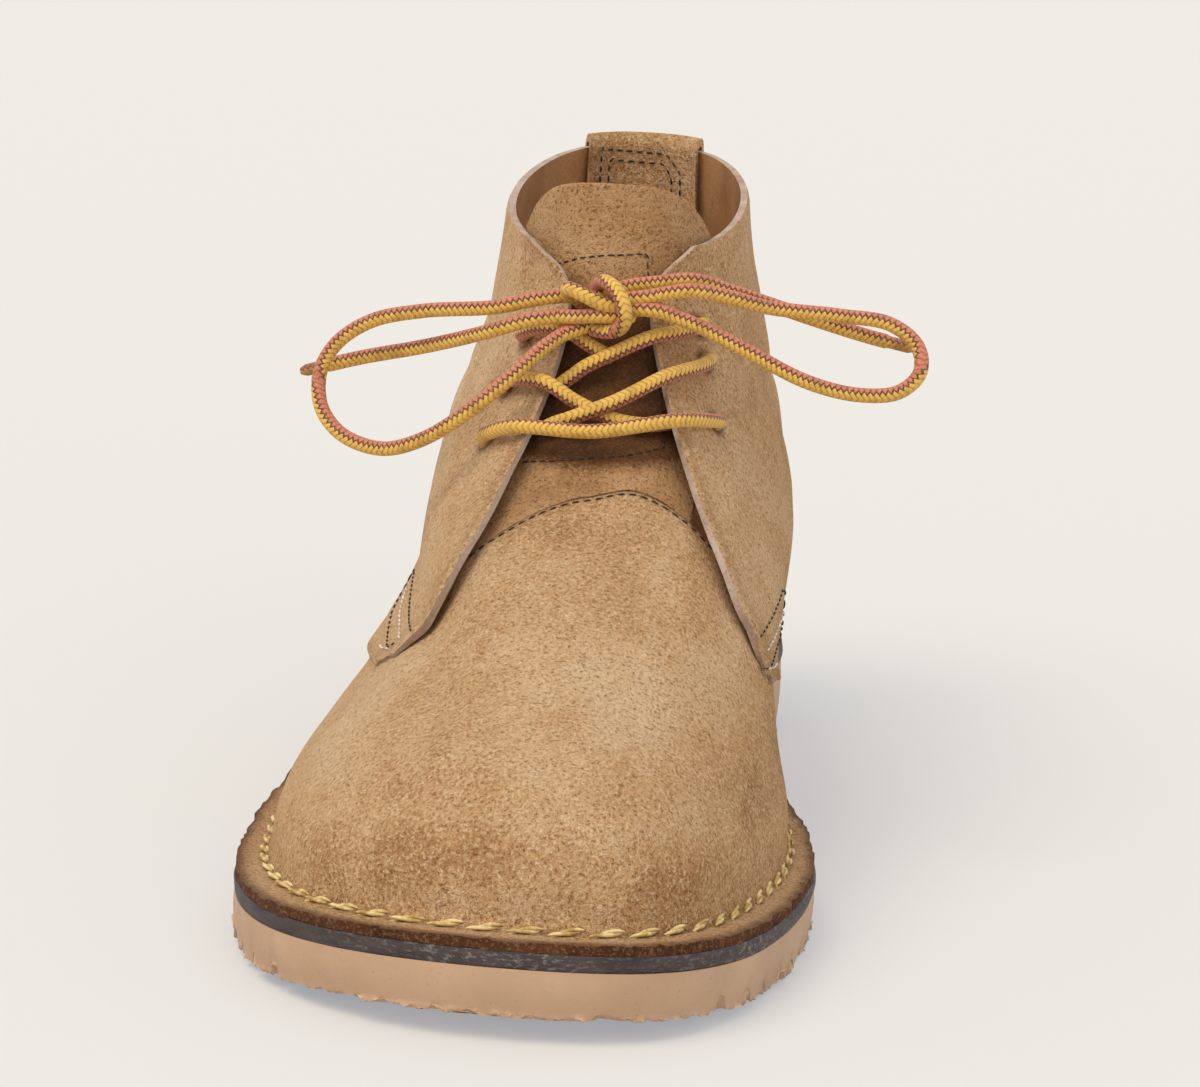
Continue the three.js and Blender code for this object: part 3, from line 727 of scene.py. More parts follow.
# The way the gold half of the braid faces on a stretch of lace.
GOLD_DOWN = (0.0, -0.3, -1.0)
GOLD_FRONT = (0.0, -0.8, -0.55)
GOLD_UP = (0.0, -0.12, 1.0)
GOLD_OUT = (0.8, -0.45, 0.4)
WAXED_END = 6.0
WAXED_WIDTH = 0.84          # share of the lace's width
WAXED_FADE = 2.5
WAXED_SHADE = 0.6
TIP_SHADE = 0.8
ROUTE_SAMPLES = 40          # between two points of a route
TIP_LENGTH = 1.2
TIP_WIDTH = 0.55            # share of the waxed end's width at its very tip


def run_along(line):
    """Distance from the start of a line to each of its points."""
    return np.concatenate([[0], np.cumsum(np.linalg.norm(np.diff(line, axis=0), axis=1))])


def smooth_route(points, step=LACE_STEP):
    """Evenly spaced points on a centripetal curve through a route."""
    points = np.asarray(points, float)
    ends = (2 * points[0] - points[1], 2 * points[-1] - points[-2])
    nodes = np.vstack([ends[0], points, ends[1]])
    knots = np.concatenate([[0], np.cumsum(np.linalg.norm(np.diff(nodes, axis=0), axis=1) ** 0.5)])
    dense = []
    for i in range(1, len(nodes) - 2):
        t = np.linspace(knots[i], knots[i + 1], ROUTE_SAMPLES, endpoint=i == len(nodes) - 3)[:, None]
        k = knots[i - 1:i + 3]
        p = nodes[i - 1:i + 3]
        a = [((k[j + 1] - t) * p[j] + (t - k[j]) * p[j + 1]) / (k[j + 1] - k[j]) for j in range(3)]
        b = [((k[j + 2] - t) * a[j] + (t - k[j]) * a[j + 1]) / (k[j + 2] - k[j]) for j in range(2)]
        dense.append(((k[2] - t) * b[0] + (t - k[1]) * b[1]) / (k[2] - k[1]))
    dense = np.vstack(dense)
    run = run_along(dense)
    count = max(8, int(run[-1] / step)) + 1
    even = np.linspace(0, run[-1], count)
    return np.stack([np.interp(even, run, dense[:, axis]) for axis in range(3)], axis=-1)


def lace_widths(to_end, waxed):
    """Share of the lace's width, and of its wax, at each distance from its end."""
    if not waxed:
        return np.ones_like(to_end), np.zeros_like(to_end)
    narrow = np.where(to_end < TIP_LENGTH, lerp(TIP_WIDTH, 1, to_end / TIP_LENGTH), 1)
    width = narrow * np.where(to_end < WAXED_END, WAXED_WIDTH, 1)
    return width, smoothstep(to_end, WAXED_END, WAXED_END - WAXED_FADE) * WAXED_SHADE


def lace_rings(line, gold, radius):
    """Points round a line, ring by ring, the first of each ring facing the way gold does."""
    tangent = np.gradient(line, axis=0)
    tangent /= np.linalg.norm(tangent, axis=1, keepdims=True)
    side = np.array(gold) - tangent * (tangent @ np.array(gold))[:, None]
    side /= np.linalg.norm(side, axis=1, keepdims=True)
    up = np.cross(side, tangent)
    turn = 2 * math.pi * np.arange(LACE_SIDES) / LACE_SIDES
    spread = side[:, None] * np.cos(turn)[None, :, None] + up[:, None] * np.sin(turn)[None, :, None]
    return line[:, None] + spread * radius[:, None, None]


def lace_map(run):
    """Place round the lace and millimetres along it for each corner of a tube's faces."""
    row, column = np.divmod(np.arange((len(run) - 1) * LACE_SIDES), LACE_SIDES)
    u = (column / LACE_SIDES, (column + 1) / LACE_SIDES)
    v = (run[row], run[row + 1])
    corners = ((u[1], v[0]), (u[1], v[1]), (u[0], v[1]), (u[0], v[0]))
    return np.stack([np.stack(c, -1) for c in corners], 1).reshape(-1, 2)


def lace_tubes(name, strands, waxed=False):
    """Braided lace along one or more routes. Each strand is (points, way that its gold half faces)."""
    points, faces, places, wax = [], [], [], []
    for route, gold in strands:
        line = smooth_route(route)
        run = run_along(line)
        width, shade = lace_widths(run[-1] - run, waxed)
        rings = lace_rings(line, gold, LACE_DIAMETER / 2 * width)
        first = sum(len(p) for p in points)
        points.append(np.vstack([rings.reshape(-1, 3), line[:1], line[-1:]]))
        faces += quads(len(line), LACE_SIDES, first, around=True)[:, ::-1].tolist()
        last_ring = first + (len(line) - 1) * LACE_SIDES
        near = first + len(line) * LACE_SIDES
        far = near + 1
        caps = []
        for k in range(LACE_SIDES):
            n = (k + 1) % LACE_SIDES
            caps.append((near, first + k, first + n))
            caps.append((far, last_ring + n, last_ring + k))
        faces += caps
        places += [lace_map(run), np.zeros((3 * len(caps), 2))]
        wax.append(np.concatenate([np.repeat(shade, LACE_SIDES), [0.0, TIP_SHADE if waxed else 0.0]]))
    made = mesh_object(name, np.vstack(points), faces, [braid])
    layer = made.data.uv_layers.new(name="Lace")
    layer.uv.foreach_set("vector", np.vstack(places).astype(np.float32).ravel())
    vertex_values(made, "waxed", np.concatenate(wax))
    return made


KNOT_STRANDS = (
    # Wrap: over the top of the knot from behind, down in front and back under it.
    (((0, 4, 116.5), (1.2, 1.5, 119.6), (3.2, -2.5, 121), (6, -5.6, 119.8), (7.9, -7.2, 116.6),
      (8, -6.8, 113.4), (6, -4.8, 111.2), (2, -2.6, 110.6), (-2, 0.5, 111.4)), GOLD_OUT),
    # Lump at the outer side, diving under the wrap.
    (((-2.5, 3.5, 115.5), (-4.8, 0.6, 117.6), (-4.6, -3, 119.2), (-1.6, -5, 118.6), (2.5, -5, 116.8),
      (6.5, -3, 115.6), (9.5, -0.5, 115)), GOLD_FRONT),
    # Outer loop's upper leg, going in behind the lump.
    (((-6, 1, 117), (-2, 1.6, 117), (2, 1.4, 116.6)), GOLD_DOWN),
    # Outer end, passing low in front into the wrap.
    (((-6.5, -3, 113.2), (-2.5, -4.2, 113.5), (2, -4.6, 114), (6, -3.6, 114), (9, -1.5, 114)), GOLD_DOWN),
    # Outer loop's lower leg, coming up from behind.
    (((-5.5, -5, 109.5), (-2.5, -3, 110.6), (1, -0.6, 111.8), (5, 0.5, 113)), GOLD_DOWN),
    # Inner loop and end, leaving behind the wrap.
    (((14.5, -2, 118.9), (11, -2.6, 118.2), (7, -1.8, 117.4), (3, 0, 116)), GOLD_DOWN),
    (((15.5, -3, 115.5), (12, -3.4, 115.8), (8, -2.2, 115.4), (4, 0.5, 114.6)), GOLD_DOWN),
    (((13, 3.5, 120.5), (8.5, 2.6, 119.8), (4, 1.6, 118.6), (0, 1.6, 117)), GOLD_DOWN),
)


cords = {}
for name, route in BOW.items():
    cords[name] = lace_tubes(name.replace("lace", "braided"), [(route, GOLD_DOWN)], waxed="end" in name)
knot = lace_tubes("bow_knot", KNOT_STRANDS)

# Stretches over the facings and the tongue: turn, level and distance off the last.
LACE_BAR = (
    (36.8, 6.2, 3.4), (36, 6.2, 6), (34, 6.21, 7.4), (30, 6.24, 8.4), (24, 6.28, 9.7),
    (18, 6.32, 10.1), (0, 6.4, 8.4), (-18, 6.46, 10.1), (-25, 6.48, 9.9), (-33, 6.48, 8.8),
    (-38, 6.48, 7.6), (-41.2, 6.48, 6.2), (-42.2, 6.48, 3.4),
)
LOWER_CROSSING = (
    (
        (-37.2, 7.18, 3.4), (-36.6, 7.18, 6), (-34, 7.14, 7.4), (-29, 7.08, 8.9), (-22, 7, 9.8),
        (-16, 6.92, 10), (-4, 6.72, 8), (6, 6.58, 6.2), (12, 6.55, 4.6), (15, 6.5, 4.2),
    ),
    (
        (34.2, 6.76, 3.4), (33.6, 6.76, 6), (31, 6.78, 7.4), (26, 6.8, 8.8), (19, 6.81, 9.8),
        (13, 6.8, 9.8), (5, 6.74, 6.4), (-5, 6.64, 4.6), (-15, 6.61, 4.2), (-22, 6.62, 3.9),
        (-27, 6.62, 3.8),
    ),
)
UPPER_CROSSING = (
    (
        (-33.7, 7.62, 3.4), (-33.1, 7.62, 6), (-30, 7.6, 7.2), (-25, 7.54, 8.4), (-18, 7.46, 9.7),
        (-11, 7.38, 10), (-2, 7.24, 7.8), (4, 7.12, 6.2), (8, 7.04, 5), (14, 6.92, 4),
    ),
    (
        (29.2, 7.4, 3.4), (28.6, 7.4, 6), (26, 7.41, 7.2), (21, 7.44, 8.6), (14, 7.46, 9.9),
        (9, 7.44, 9.7), (3, 7.36, 6.4), (-2, 7.28, 4.8),
    ),
)


def over_boot(route):
    """Points over the boot of a route given by turn, level and distance off the last."""
    turn, level, off = np.array(route, float).T
    return off_last(np.radians(turn), level, off)


bar = lace_tubes("bottom_bar", [(over_boot(LACE_BAR), GOLD_FRONT)])
crossing_lower = lace_tubes("lower_crossing", [(over_boot(route), GOLD_UP) for route in LOWER_CROSSING])
crossing_upper = lace_tubes("upper_crossing", [(over_boot(route), GOLD_UP) for route in UPPER_CROSSING])


# ---- Rubber sole, midsole and insole ----
MERGE_DISTANCE = 0.01


def sole_slab(name, stations, across, down, top_height, foot_height, side, material, rag=None, marks=None):
    """A slab with the sole's outline, made of sections across the boot that bunch at toe and heel.

    side(turn, part) is the inset down the wall, with part 0 at the top; rag(x, y) roughens the foot.
    marks is a (name, function of turn and part) for a number that its material reads.
    """
    turn = np.linspace(0, math.pi, stations)[:, None]
    part = np.linspace(0, 1, down)[None, :]
    walls, shades = [], []
    for sign in (1, -1):
        signed = np.broadcast_to(sign * turn, (stations, down))
        x, y = inset_point(signed, side(signed, part))
        z = lerp(top_height(y), foot_height(y), part)
        if rag is not None:
            z = z + rag(x, y) * smoothstep(part, 0.86, 1.0)
        walls.append(np.stack([x, y, z], -1))
        shades.append(marks[1](signed, part) if marks else np.zeros((stations, down)))
    share = smoothstep(np.linspace(0, 1, across + 1), 0, 1)[None, 1:-1, None]
    foot = lerp(walls[0][:, -1:], walls[1][:, -1:], share)
    foot[..., 2] = foot_height(foot[..., 1])
    if rag is not None:
        inside = np.minimum(share[..., 0], 1 - share[..., 0])
        foot[..., 2] += rag(foot[..., 0], foot[..., 1]) * (1 - 0.8 * smoothstep(inside, 0.05, 0.2))
    top = lerp(walls[1][:, :1], walls[0][:, :1], share)
    flat = np.zeros((stations, across - 1))
    sections = np.concatenate([walls[0], foot, walls[1][:, ::-1], top], axis=1)
    shade = np.concatenate([shades[0], flat, shades[1][:, ::-1], flat], axis=1)
    rows, columns = sections.shape[:2]
    faces = quads(rows, columns, around=True).tolist()
    made = mesh_object(name, sections.reshape(-1, 3), faces, [material])
    if marks:
        vertex_values(made, marks[0], shade)
    # The points that lie on one another at toe and heel become one.
    edit_mesh(made, lambda work: bmesh.ops.remove_doubles(work, verts=work.verts, dist=MERGE_DISTANCE * MM))
    return made


SETTLE = 0.25               # the glued layers sink into the gaps between them
INSOLE_INSET = 10.8
INSOLE_THICKNESS = 2.5
LUG_PITCH = 9.5
LUG_GROOVE = 2.6
LUG_DEPTH = 2.2
LUG_SOFTNESS = 0.4
LUG_RUNS = ((22, 128), (214, 290))


def tread_foot_height(y):
    """Underside of the rubber, with the cross grooves between its lugs."""
    u = np.asarray(y) + LENGTH / 2
    depth = np.zeros_like(u)
    for start, end in LUG_RUNS:
        inside = (u > start - LUG_PITCH / 2) & (u < end + LUG_PITCH / 2)
        off = np.abs(np.mod(u - start + LUG_PITCH / 2, LUG_PITCH) - LUG_PITCH / 2)
        open_part = smoothstep(LUG_GROOVE / 2 - off, -LUG_SOFTNESS, LUG_SOFTNESS)
        depth = np.where(inside, LUG_DEPTH * open_part, depth)
    return tread_height(y) + depth


def tread_rag(x, y):
    """How far the torn rubber lies above the flat of the tread, at a place under the sole."""
    broad = np.maximum(0, uneven(x / 2.6 + 40, y / 2.6)) ** 0.7
    fine = np.abs(uneven(x / 1.1, y / 1.1 + 20))
    return 1.1 * broad + 0.7 * fine


def torn_edge(turn):
    """How far burrs of rubber stand out at each place round the foot of the sole."""
    x, y = edge_point(turn)
    broad = np.maximum(0, uneven(x / 4 + 8, y / 4) - 0.1)
    fine = np.maximum(0, uneven(x / 1.2, y / 1.2 + 9))
    return 0.9 * broad + 1.1 * fine ** 1.5


def sole_side(turn, part):
    """Inset of the rubber's wall: it bellies out a little and ends in a torn frill."""
    belly = 0.4 * np.sin(math.pi * np.clip(part * 1.15, 0, 1))
    frill = torn_edge(turn) * smoothstep(part, 0.84, 1.0)
    return 0.1 - belly - frill + 0.6 * part


def sole_torn_mark(turn, part):
    return smoothstep(part, 0.9, 1.0) * np.clip(0.25 + torn_edge(turn), 0, 0.8)


def midsole_side(turn, part):
    return 0.25 * uneven(turn * 9, part * 2) + 0.35 * (2 * part - 1) ** 2 - 0.15


def insole_side(turn, part):
    return INSOLE_INSET + 0 * turn * part


rubber_sole = sole_slab(
    "rubber_sole", 700, 28, 18, sole_top_height, tread_foot_height, sole_side, sole_rubber,
    tread_rag, ("torn", sole_torn_mark))
dark_midsole = sole_slab(
    "dark_midsole", 420, 4, 8, midsole_top_height, raised(midsole_foot_height, -SETTLE), midsole_side,
    midsole_edge)
leather_insole = sole_slab(
    "leather_insole", 240, 10, 4, raised(flange_foot_height, INSOLE_THICKNESS), flange_foot_height,
    insole_side, lining)


# ---- Upper: the foot of each wall turns out into a flange that is stitched down ----
FOOT_LEVEL = 0.4            # level at which the turned-out foot has become the wall
FLAT_PART = 0.45            # share of the foot that lies flat
STITCH_PART = 0.70          # where the stitches run along the foot
FOOT_ROWS = 22
STITCH_GROOVE = 0.45
GROOVE_REACH = 0.09         # share of the foot
UPPER_SKINS = [suede, lining, cut_edge]
QUARTER_LAP = 0.35          # how far the quarters' flange stands above the vamp's
VAMP_EDGE_INSET = 0.3


def foot_curve(turn, offset, height, edge_inset, part):
    """Points of a wall's foot: part 0 at the sole's edge, 1 on the wall at FOOT_LEVEL."""
    turn, part = np.broadcast_arrays(np.asarray(turn, float), np.asarray(part, float))
    edge_x, edge_y = inset_point(turn, edge_inset)
    edge = np.stack([edge_x, edge_y, height(edge_y)], -1)
    crease = off_last(turn, 0 * turn, offset)
    crease[..., 2] = height(crease[..., 1])
    wall = off_last(turn, FOOT_LEVEL + 0 * turn, offset)
    flat_end = lerp(edge, crease, 0.5)
    flat = lerp(edge, flat_end, np.minimum(part / FLAT_PART, 1)[..., None])
    t = np.maximum((part - FLAT_PART) / (1 - FLAT_PART), 0)[..., None]
    return flat + (1 - t) ** 2 * flat_end + 2 * t * (1 - t) * crease + t * t * wall - flat_end


def leather_wall(name, foot_turns, turns, levels, inner, outer, edge_inset, lift, rolled_top):
    """A wall of the upper with its flange, how far each point is darkened by wear and painted shade, and
    its grid of outer points.

    turns and levels are grids for the wall above its foot, and foot_turns is the grid for the foot.
    inner and outer give the offsets off the last for a (turn, level).
    """
    part = np.linspace(0, 1, FOOT_ROWS, endpoint=False)[:, None]
    signed = signed_turn(foot_turns)
    top, under = raised(flange_top_height, lift), raised(flange_foot_height, -SETTLE)
    rag = edge_inset + 0.35 * uneven(foot_turns * 25, 2.5) + 0.45 * uneven(foot_turns * 80, 4.5 + part * 3)
    low = FOOT_LEVEL + 0 * foot_turns
    outer_foot = foot_curve(signed, outer(foot_turns, low), top, rag, part + 0 * foot_turns)
    inner_foot = foot_curve(signed, inner(foot_turns, low), under, rag, part + 0 * foot_turns)
    groove = STITCH_GROOVE * np.exp(-((part - STITCH_PART) / GROOVE_REACH) ** 2)
    crumpled = (0.25 + 0.4 * uneven(foot_turns * 85, 7.5)) * np.exp(-(part / GROOVE_REACH) ** 2)
    outer_foot[..., 2] -= groove + crumpled
    outer_wall = off_last(turns, levels, outer(turns, levels))
    inner_wall = off_last(turns, levels, inner(turns, levels))
    outer_grid = np.concatenate([outer_foot, outer_wall])
    inner_grid = np.concatenate([inner_foot, inner_wall])
    roll = edge_roll(*outer_grid.shape[:2], top=rolled_top)
    away = outer_grid - inner_grid
    outer_grid = outer_grid - away / np.linalg.norm(away, axis=-1, keepdims=True) * roll[..., None]
    made = shell(name, outer_grid, inner_grid, UPPER_SKINS)
    all_turns = np.concatenate([foot_turns, turns])
    all_levels = np.concatenate([FOOT_LEVEL * part + 0 * foot_turns, levels])
    tone = nap_tone_and_painted_light(all_turns, all_levels)
    rows = len(all_levels)
    flange_shade = np.concatenate([part[:, 0], np.ones(rows - FOOT_ROWS)])[:, None]
    # Painted shade: the nap is darkened round the crease where the wall turns out into the flange.
    tone = tone - 0.55 * np.exp(-((flange_shade - 0.75) / 0.2) ** 2) * (flange_shade < 1)
    vertex_values(made, "tone", np.concatenate([tone.ravel(), tone.ravel()]))
    # Wear darkens the flange's outer edge and the flange outside the stitches.
    wear_and_painted_shade = 0.75 * np.exp(-(flange_shade / 0.24) ** 2) + 0.12 * (flange_shade < 0.7)
    # Painted shade darkens the stitch groove.
    wear_and_painted_shade = wear_and_painted_shade + 0.35 * np.exp(-((flange_shade - 0.72) / 0.06) ** 2)
    wear_and_painted_shade = np.broadcast_to(wear_and_painted_shade * (flange_shade < 1), tone.shape)
    return made, wear_and_painted_shade, outer_grid


def finish_wall(piece, wear_and_painted_shade, wall_wear, grid_shape):
    """Adds the wear above the foot, and makes the cut edge along the sole raw and brown."""
    wear_and_painted_shade = wear_and_painted_shade.copy()
    wear_and_painted_shade[FOOT_ROWS:] += wall_wear
    vertex_values(piece, "wear_and_painted_shade", np.concatenate([wear_and_painted_shade.ravel(), wear_and_painted_shade.ravel()]))
    piece.data.materials.append(raw_edge)
    columns = grid_shape[1]
    first = 2 * (grid_shape[0] - 1) * (columns - 1)
    slots = np.zeros(len(piece.data.polygons), np.int32)
    piece.data.polygons.foreach_get("material_index", slots)
    slots[first:first + columns - 1] = RAW
    piece.data.polygons.foreach_set("material_index", slots)


# Vamp.
VAMP_COLUMNS, VAMP_ROWS = 300, 120
SEAM_WEAR_REACH = 0.06      # levels
reach = math.radians(VAMP_REACH)
vamp_turns = np.broadcast_to(np.linspace(-reach, reach, VAMP_COLUMNS), (VAMP_ROWS, VAMP_COLUMNS))
vamp_share = np.linspace(0, 1, VAMP_ROWS)[:, None]
vamp_levels = lerp(FOOT_LEVEL, vamp_top(vamp_turns), vamp_share)
vamp_foot_turns = np.broadcast_to(vamp_turns[:1], (FOOT_ROWS, VAMP_COLUMNS))


def vamp_inner(turn, level):
    return leather_form(turn, level) * smoothstep(level, 0.2, 1.4)


def vamp_outer(turn, level):
    return vamp_inner(turn, level) + SUEDE


vamp, vamp_wear_and_painted_shade, vamp_grid = leather_wall(
    "vamp", vamp_foot_turns, vamp_turns, vamp_levels, vamp_inner, vamp_outer, VAMP_EDGE_INSET, 0.0,
    rolled_top=False)
below_seam = (1 - vamp_share) * vamp_levels
finish_wall(vamp, vamp_wear_and_painted_shade, 0.25 * np.exp(-(below_seam / SEAM_WEAR_REACH) ** 2), vamp_grid.shape)

# Quarters, one piece round the heel.
QUARTER_COLUMNS, QUARTER_ROWS = 260, 160
CORNER_FRAY = math.radians(1.3)
CORNER_THINNING = 0.45      # share of the leather's thickness beaten away at the lower corners
FACING_WEAR_TURN = 0.04     # radians behind the front edges
FACING_WEAR_REACH = 0.03


def quarter_turns(base):
    """Grid of turns from the outer facing edge, round the heel, to the inner one."""
    frayed = smoothstep(base, 2.6, 2.8) * smoothstep(-base, -3.5, -3.0)
    start = facing_turn(base, "lateral") + CORNER_FRAY * frayed * uneven(base * 11, 3)
    end = 2 * math.pi - facing_turn(base, "medial") + CORNER_FRAY * frayed * uneven(base * 11, 8)
    # Columns crowd towards both facing edges.
    t = np.linspace(0, 1, QUARTER_COLUMNS)[None, :]
    crowded = lerp(t, smoothstep(t, 0, 1), 0.45)
    return lerp(start, end, crowded), start, end


base_levels = np.linspace(FOOT_LEVEL, QUARTER_TOP, QUARTER_ROWS)[:, None]
turns, quarter_start, quarter_end = quarter_turns(base_levels)
quarter_levels = base_levels + collar_rise(turns) * (base_levels / QUARTER_TOP) ** 4
foot_base = np.linspace(0, FOOT_LEVEL, FOOT_ROWS, endpoint=False)[:, None]
foot_turns = quarter_turns(foot_base)[0]


def quarter_inner(turn, level):
    face = quarter_face(signed_turn(turn), np.minimum(level, QUARTER_TOP))
    return face - SUEDE + quarter_form(turn, level)


def quarter_form(turn, level):
    """Folds of the shaft, fading out towards the flange and the collar."""
    return leather_form(turn, level) * smoothstep(level, 0.2, 1.6) * smoothstep(-level, -8.4, -7.4)


def corner_press(turn, level):
    """1 where the lower front corners are beaten flat before they are stitched down, 0 elsewhere."""
    from_outer = turn - facing_turn(level, "lateral")
    from_inner = 2 * math.pi - facing_turn(level, "medial") - turn
    away = np.minimum(from_outer, from_inner)
    low = smoothstep(-level, -4.0, -3.1) * smoothstep(level, 2.3, 2.75)
    return low * (1 - smoothstep(away, 0.1, 0.3))


def quarter_outer(turn, level):
    return quarter_inner(turn, level) + SUEDE * (1 - CORNER_THINNING * corner_press(turn, level))


quarters, quarter_wear_and_painted_shade, quarter_grid = leather_wall(
    "quarters", foot_turns, turns, quarter_levels, quarter_inner, quarter_outer, 0.5, QUARTER_LAP,
    rolled_top=True)
from_facing = np.minimum(turns - quarter_start, quarter_end - turns)
above_corner = base_levels > 2.4
facing_wear = 0.2 * np.exp(-((from_facing - FACING_WEAR_TURN) / FACING_WEAR_REACH) ** 2) * above_corner
finish_wall(quarters, quarter_wear_and_painted_shade, facing_wear, quarter_grid.shape)

# Eyelets: punched through the quarters. Turn and level of each.
EYELETS = ((36.5, 6.2), (34, 6.76), (29, 7.4), (-42, 6.48), (-37, 7.18), (-33.5, 7.62))
EYELET_DIAMETER = 4.3
RIM_WEAR_REACH = 1.1


def baked(piece, modifier):
    """Makes a modifier's result the piece's own mesh."""
    finished = bpy.data.meshes.new_from_object(piece.evaluated_get(bpy.context.evaluated_depsgraph_get()))
    piece.modifiers.remove(modifier)
    piece.data = finished


def punch(piece, places, diameter):
    """Cuts round holes straight through the wall of a piece."""
    sides, length = 28, 14
    points, faces = [], []
    for turn, level in places:
        middle = off_last(math.radians(turn), level, quarter_face(math.radians(turn), level))
        axis = last_normal(math.radians(turn), level)
        side = np.cross(axis, (0, 0, 1))
        side /= np.linalg.norm(side)
        up = np.cross(side, axis)
        first = len(points)
        for along in (-length / 2, length / 2):
            for k in range(sides):
                a = 2 * math.pi * k / sides
                spread = (side * math.cos(a) + up * math.sin(a)) * diameter / 2
                points.append(middle + axis * along + spread)
        for k in range(sides):
            n = (k + 1) % sides
            faces.append((first + k, first + sides + k, first + sides + n, first + n))
        faces.append(tuple(first + k for k in range(sides)))
        faces.append(tuple(first + 2 * sides - 1 - k for k in range(sides)))
    punches = mesh_object("punches", points, faces, [cut_edge])
    edit_mesh(punches, lambda work: bmesh.ops.recalc_face_normals(work, faces=work.faces))
    cut = piece.modifiers.new("punch", "BOOLEAN")
    cut.object = punches
    cut.operation = "DIFFERENCE"
    cut.solver = "EXACT"
    baked(piece, cut)
    bpy.data.objects.remove(punches)


def wear_rims(piece, places, diameter):
    """Wears the nap dark round holes."""
    turns_at, levels_at = np.array(places, float).T
    turns_at = np.radians(turns_at)
    centres = off_last(turns_at, levels_at, quarter_face(turns_at, levels_at))
    count = len(piece.data.vertices)
    points = np.zeros(count * 3, np.float32)
    piece.data.vertices.foreach_get("co", points)
    points = points.reshape(-1, 3) / MM
    away = np.min(np.linalg.norm(points[:, None] - centres[None], axis=2), axis=1)
    rim_wear = 0.7 * np.exp(-((away - diameter / 2) / RIM_WEAR_REACH) ** 2)
    layer = piece.data.attributes["wear_and_painted_shade"].data
    wear_and_painted_shade = np.zeros(count, np.float32)
    layer.foreach_get("value", wear_and_painted_shade)
    layer.foreach_set("value", np.maximum(wear_and_painted_shade, rim_wear.astype(np.float32)))


punch(quarters, EYELETS, EYELET_DIAMETER)
wear_rims(quarters, EYELETS, EYELET_DIAMETER)


# ---- Tongue ----
TONGUE_COLUMNS, TONGUE_ROWS = 110, 150
across = np.linspace(-1, 1, TONGUE_COLUMNS)[None, :]
share = np.linspace(0, 1, TONGUE_ROWS)[:, None]
tongue_turns = np.radians(lerp(TONGUE_START_TURN, TONGUE_END_TURN, share)) * across
tongue_low = vamp_top(np.radians(TONGUE_START_TURN) * across) + 0.02
tongue_levels = lerp(tongue_low, TONGUE_END - TONGUE_ROUND * np.abs(across) ** TONGUE_POWER, share)


def tongue_inner(turn, level):
    """Offset of the tongue's inner face: one fold under the lace, and ripples above it."""
    fold_level = 6.75 + 0.1 * np.degrees(turn) / 20
    fold = -0.9 * np.exp(-((level - fold_level) / 0.09) ** 2)
    ripple = 0.35 * uneven(np.degrees(turn) / 12 + 3, level * 1.7)
    return fold * smoothstep(-np.abs(turn), -0.5, -0.1) + ripple * smoothstep(level, 6.2, 6.8)


def tongue_outer(turn, level):
    return tongue_inner(turn, level) + SUEDE


tongue_face = tongue_outer(tongue_turns, tongue_levels) - edge_roll(TONGUE_ROWS, TONGUE_COLUMNS, 0.4)
tongue = shell(
    "tongue_suede_with_painted_shade", off_last(tongue_turns, tongue_levels, tongue_face),
    off_last(tongue_turns, tongue_levels, tongue_inner(tongue_turns, tongue_levels)),
    [tongue_suede_with_painted_shade, lining, tongue_suede_with_painted_shade])
# Painted shade: the nap is painted darkest in the throat, under the lace.
throat_painted_shade = smoothstep(tongue_levels, 6.15, 6.4) * (1 - smoothstep(tongue_levels, 7.7, 8.6))
tongue_tone = 0.15 + 0.25 * uneven(np.degrees(tongue_turns) / 9, tongue_levels * 2) - 2.4 * throat_painted_shade
tongue_tone = tongue_tone - 0.3 * (1 - smoothstep(tongue_levels, 6.1, 6.3))
vertex_values(tongue, "tone", np.concatenate([tongue_tone.ravel()] * 2))
vertex_values(tongue, "wear_and_painted_shade", np.zeros(2 * tongue_tone.size))


# ---- Pull tab: a strip folded over the collar at the heel ----
TAB_WALL = 1.6
TAB_HALF_WIDTH = 12.5
TAB_MIDDLE_TURN = 178.0
COLLAR_RADIUS = 22.5        # half of the last's width at the collar
TAB_OUTSIDE_END = 7.2
TAB_INSIDE_END = 8.1
TAB_MIDDLE = 3.6            # offset off the last of the middle of the collar's edge
TAB_BEND = 1.65             # radius of the fold's inner face
TAB_FOLD_LEVEL = 8.93
LEVEL_RISE = 10.0           # millimetres of height to a level at the back of the collar


def tab_path(radius, rows=80):
    """Level and offset along a face of the folded strip, outside end first."""
    straight = rows // 3
    outside = np.linspace(TAB_OUTSIDE_END, TAB_FOLD_LEVEL, straight, endpoint=False)
    bend = np.linspace(0, math.pi, rows - 2 * straight)
    inside = np.linspace(TAB_FOLD_LEVEL, TAB_INSIDE_END, straight + 1)[1:]
    level = np.concatenate([outside, TAB_FOLD_LEVEL + np.sin(bend) * radius / LEVEL_RISE, inside])
    offset = np.concatenate([
        np.full(straight, TAB_MIDDLE + radius), TAB_MIDDLE + np.cos(bend) * radius,
        np.full(straight, TAB_MIDDLE - radius)])
    return level[:, None], offset[:, None]


def tab_grid(radius, columns=70):
    level, offset = tab_path(radius)
    half_turn = np.arcsin((TAB_HALF_WIDTH / (COLLAR_RADIUS + offset)) ** (1 / OVAL_POWER))
    turn = math.radians(TAB_MIDDLE_TURN) + half_turn * np.linspace(-1, 1, columns)[None, :]
    drop = (COLLAR_BACK - QUARTER_TOP) - collar_rise(turn)
    puff = 0.25 * uneven(turn * 8, level * 3)
    return off_last(turn + 0 * level, level - drop, offset + puff + 0 * turn)


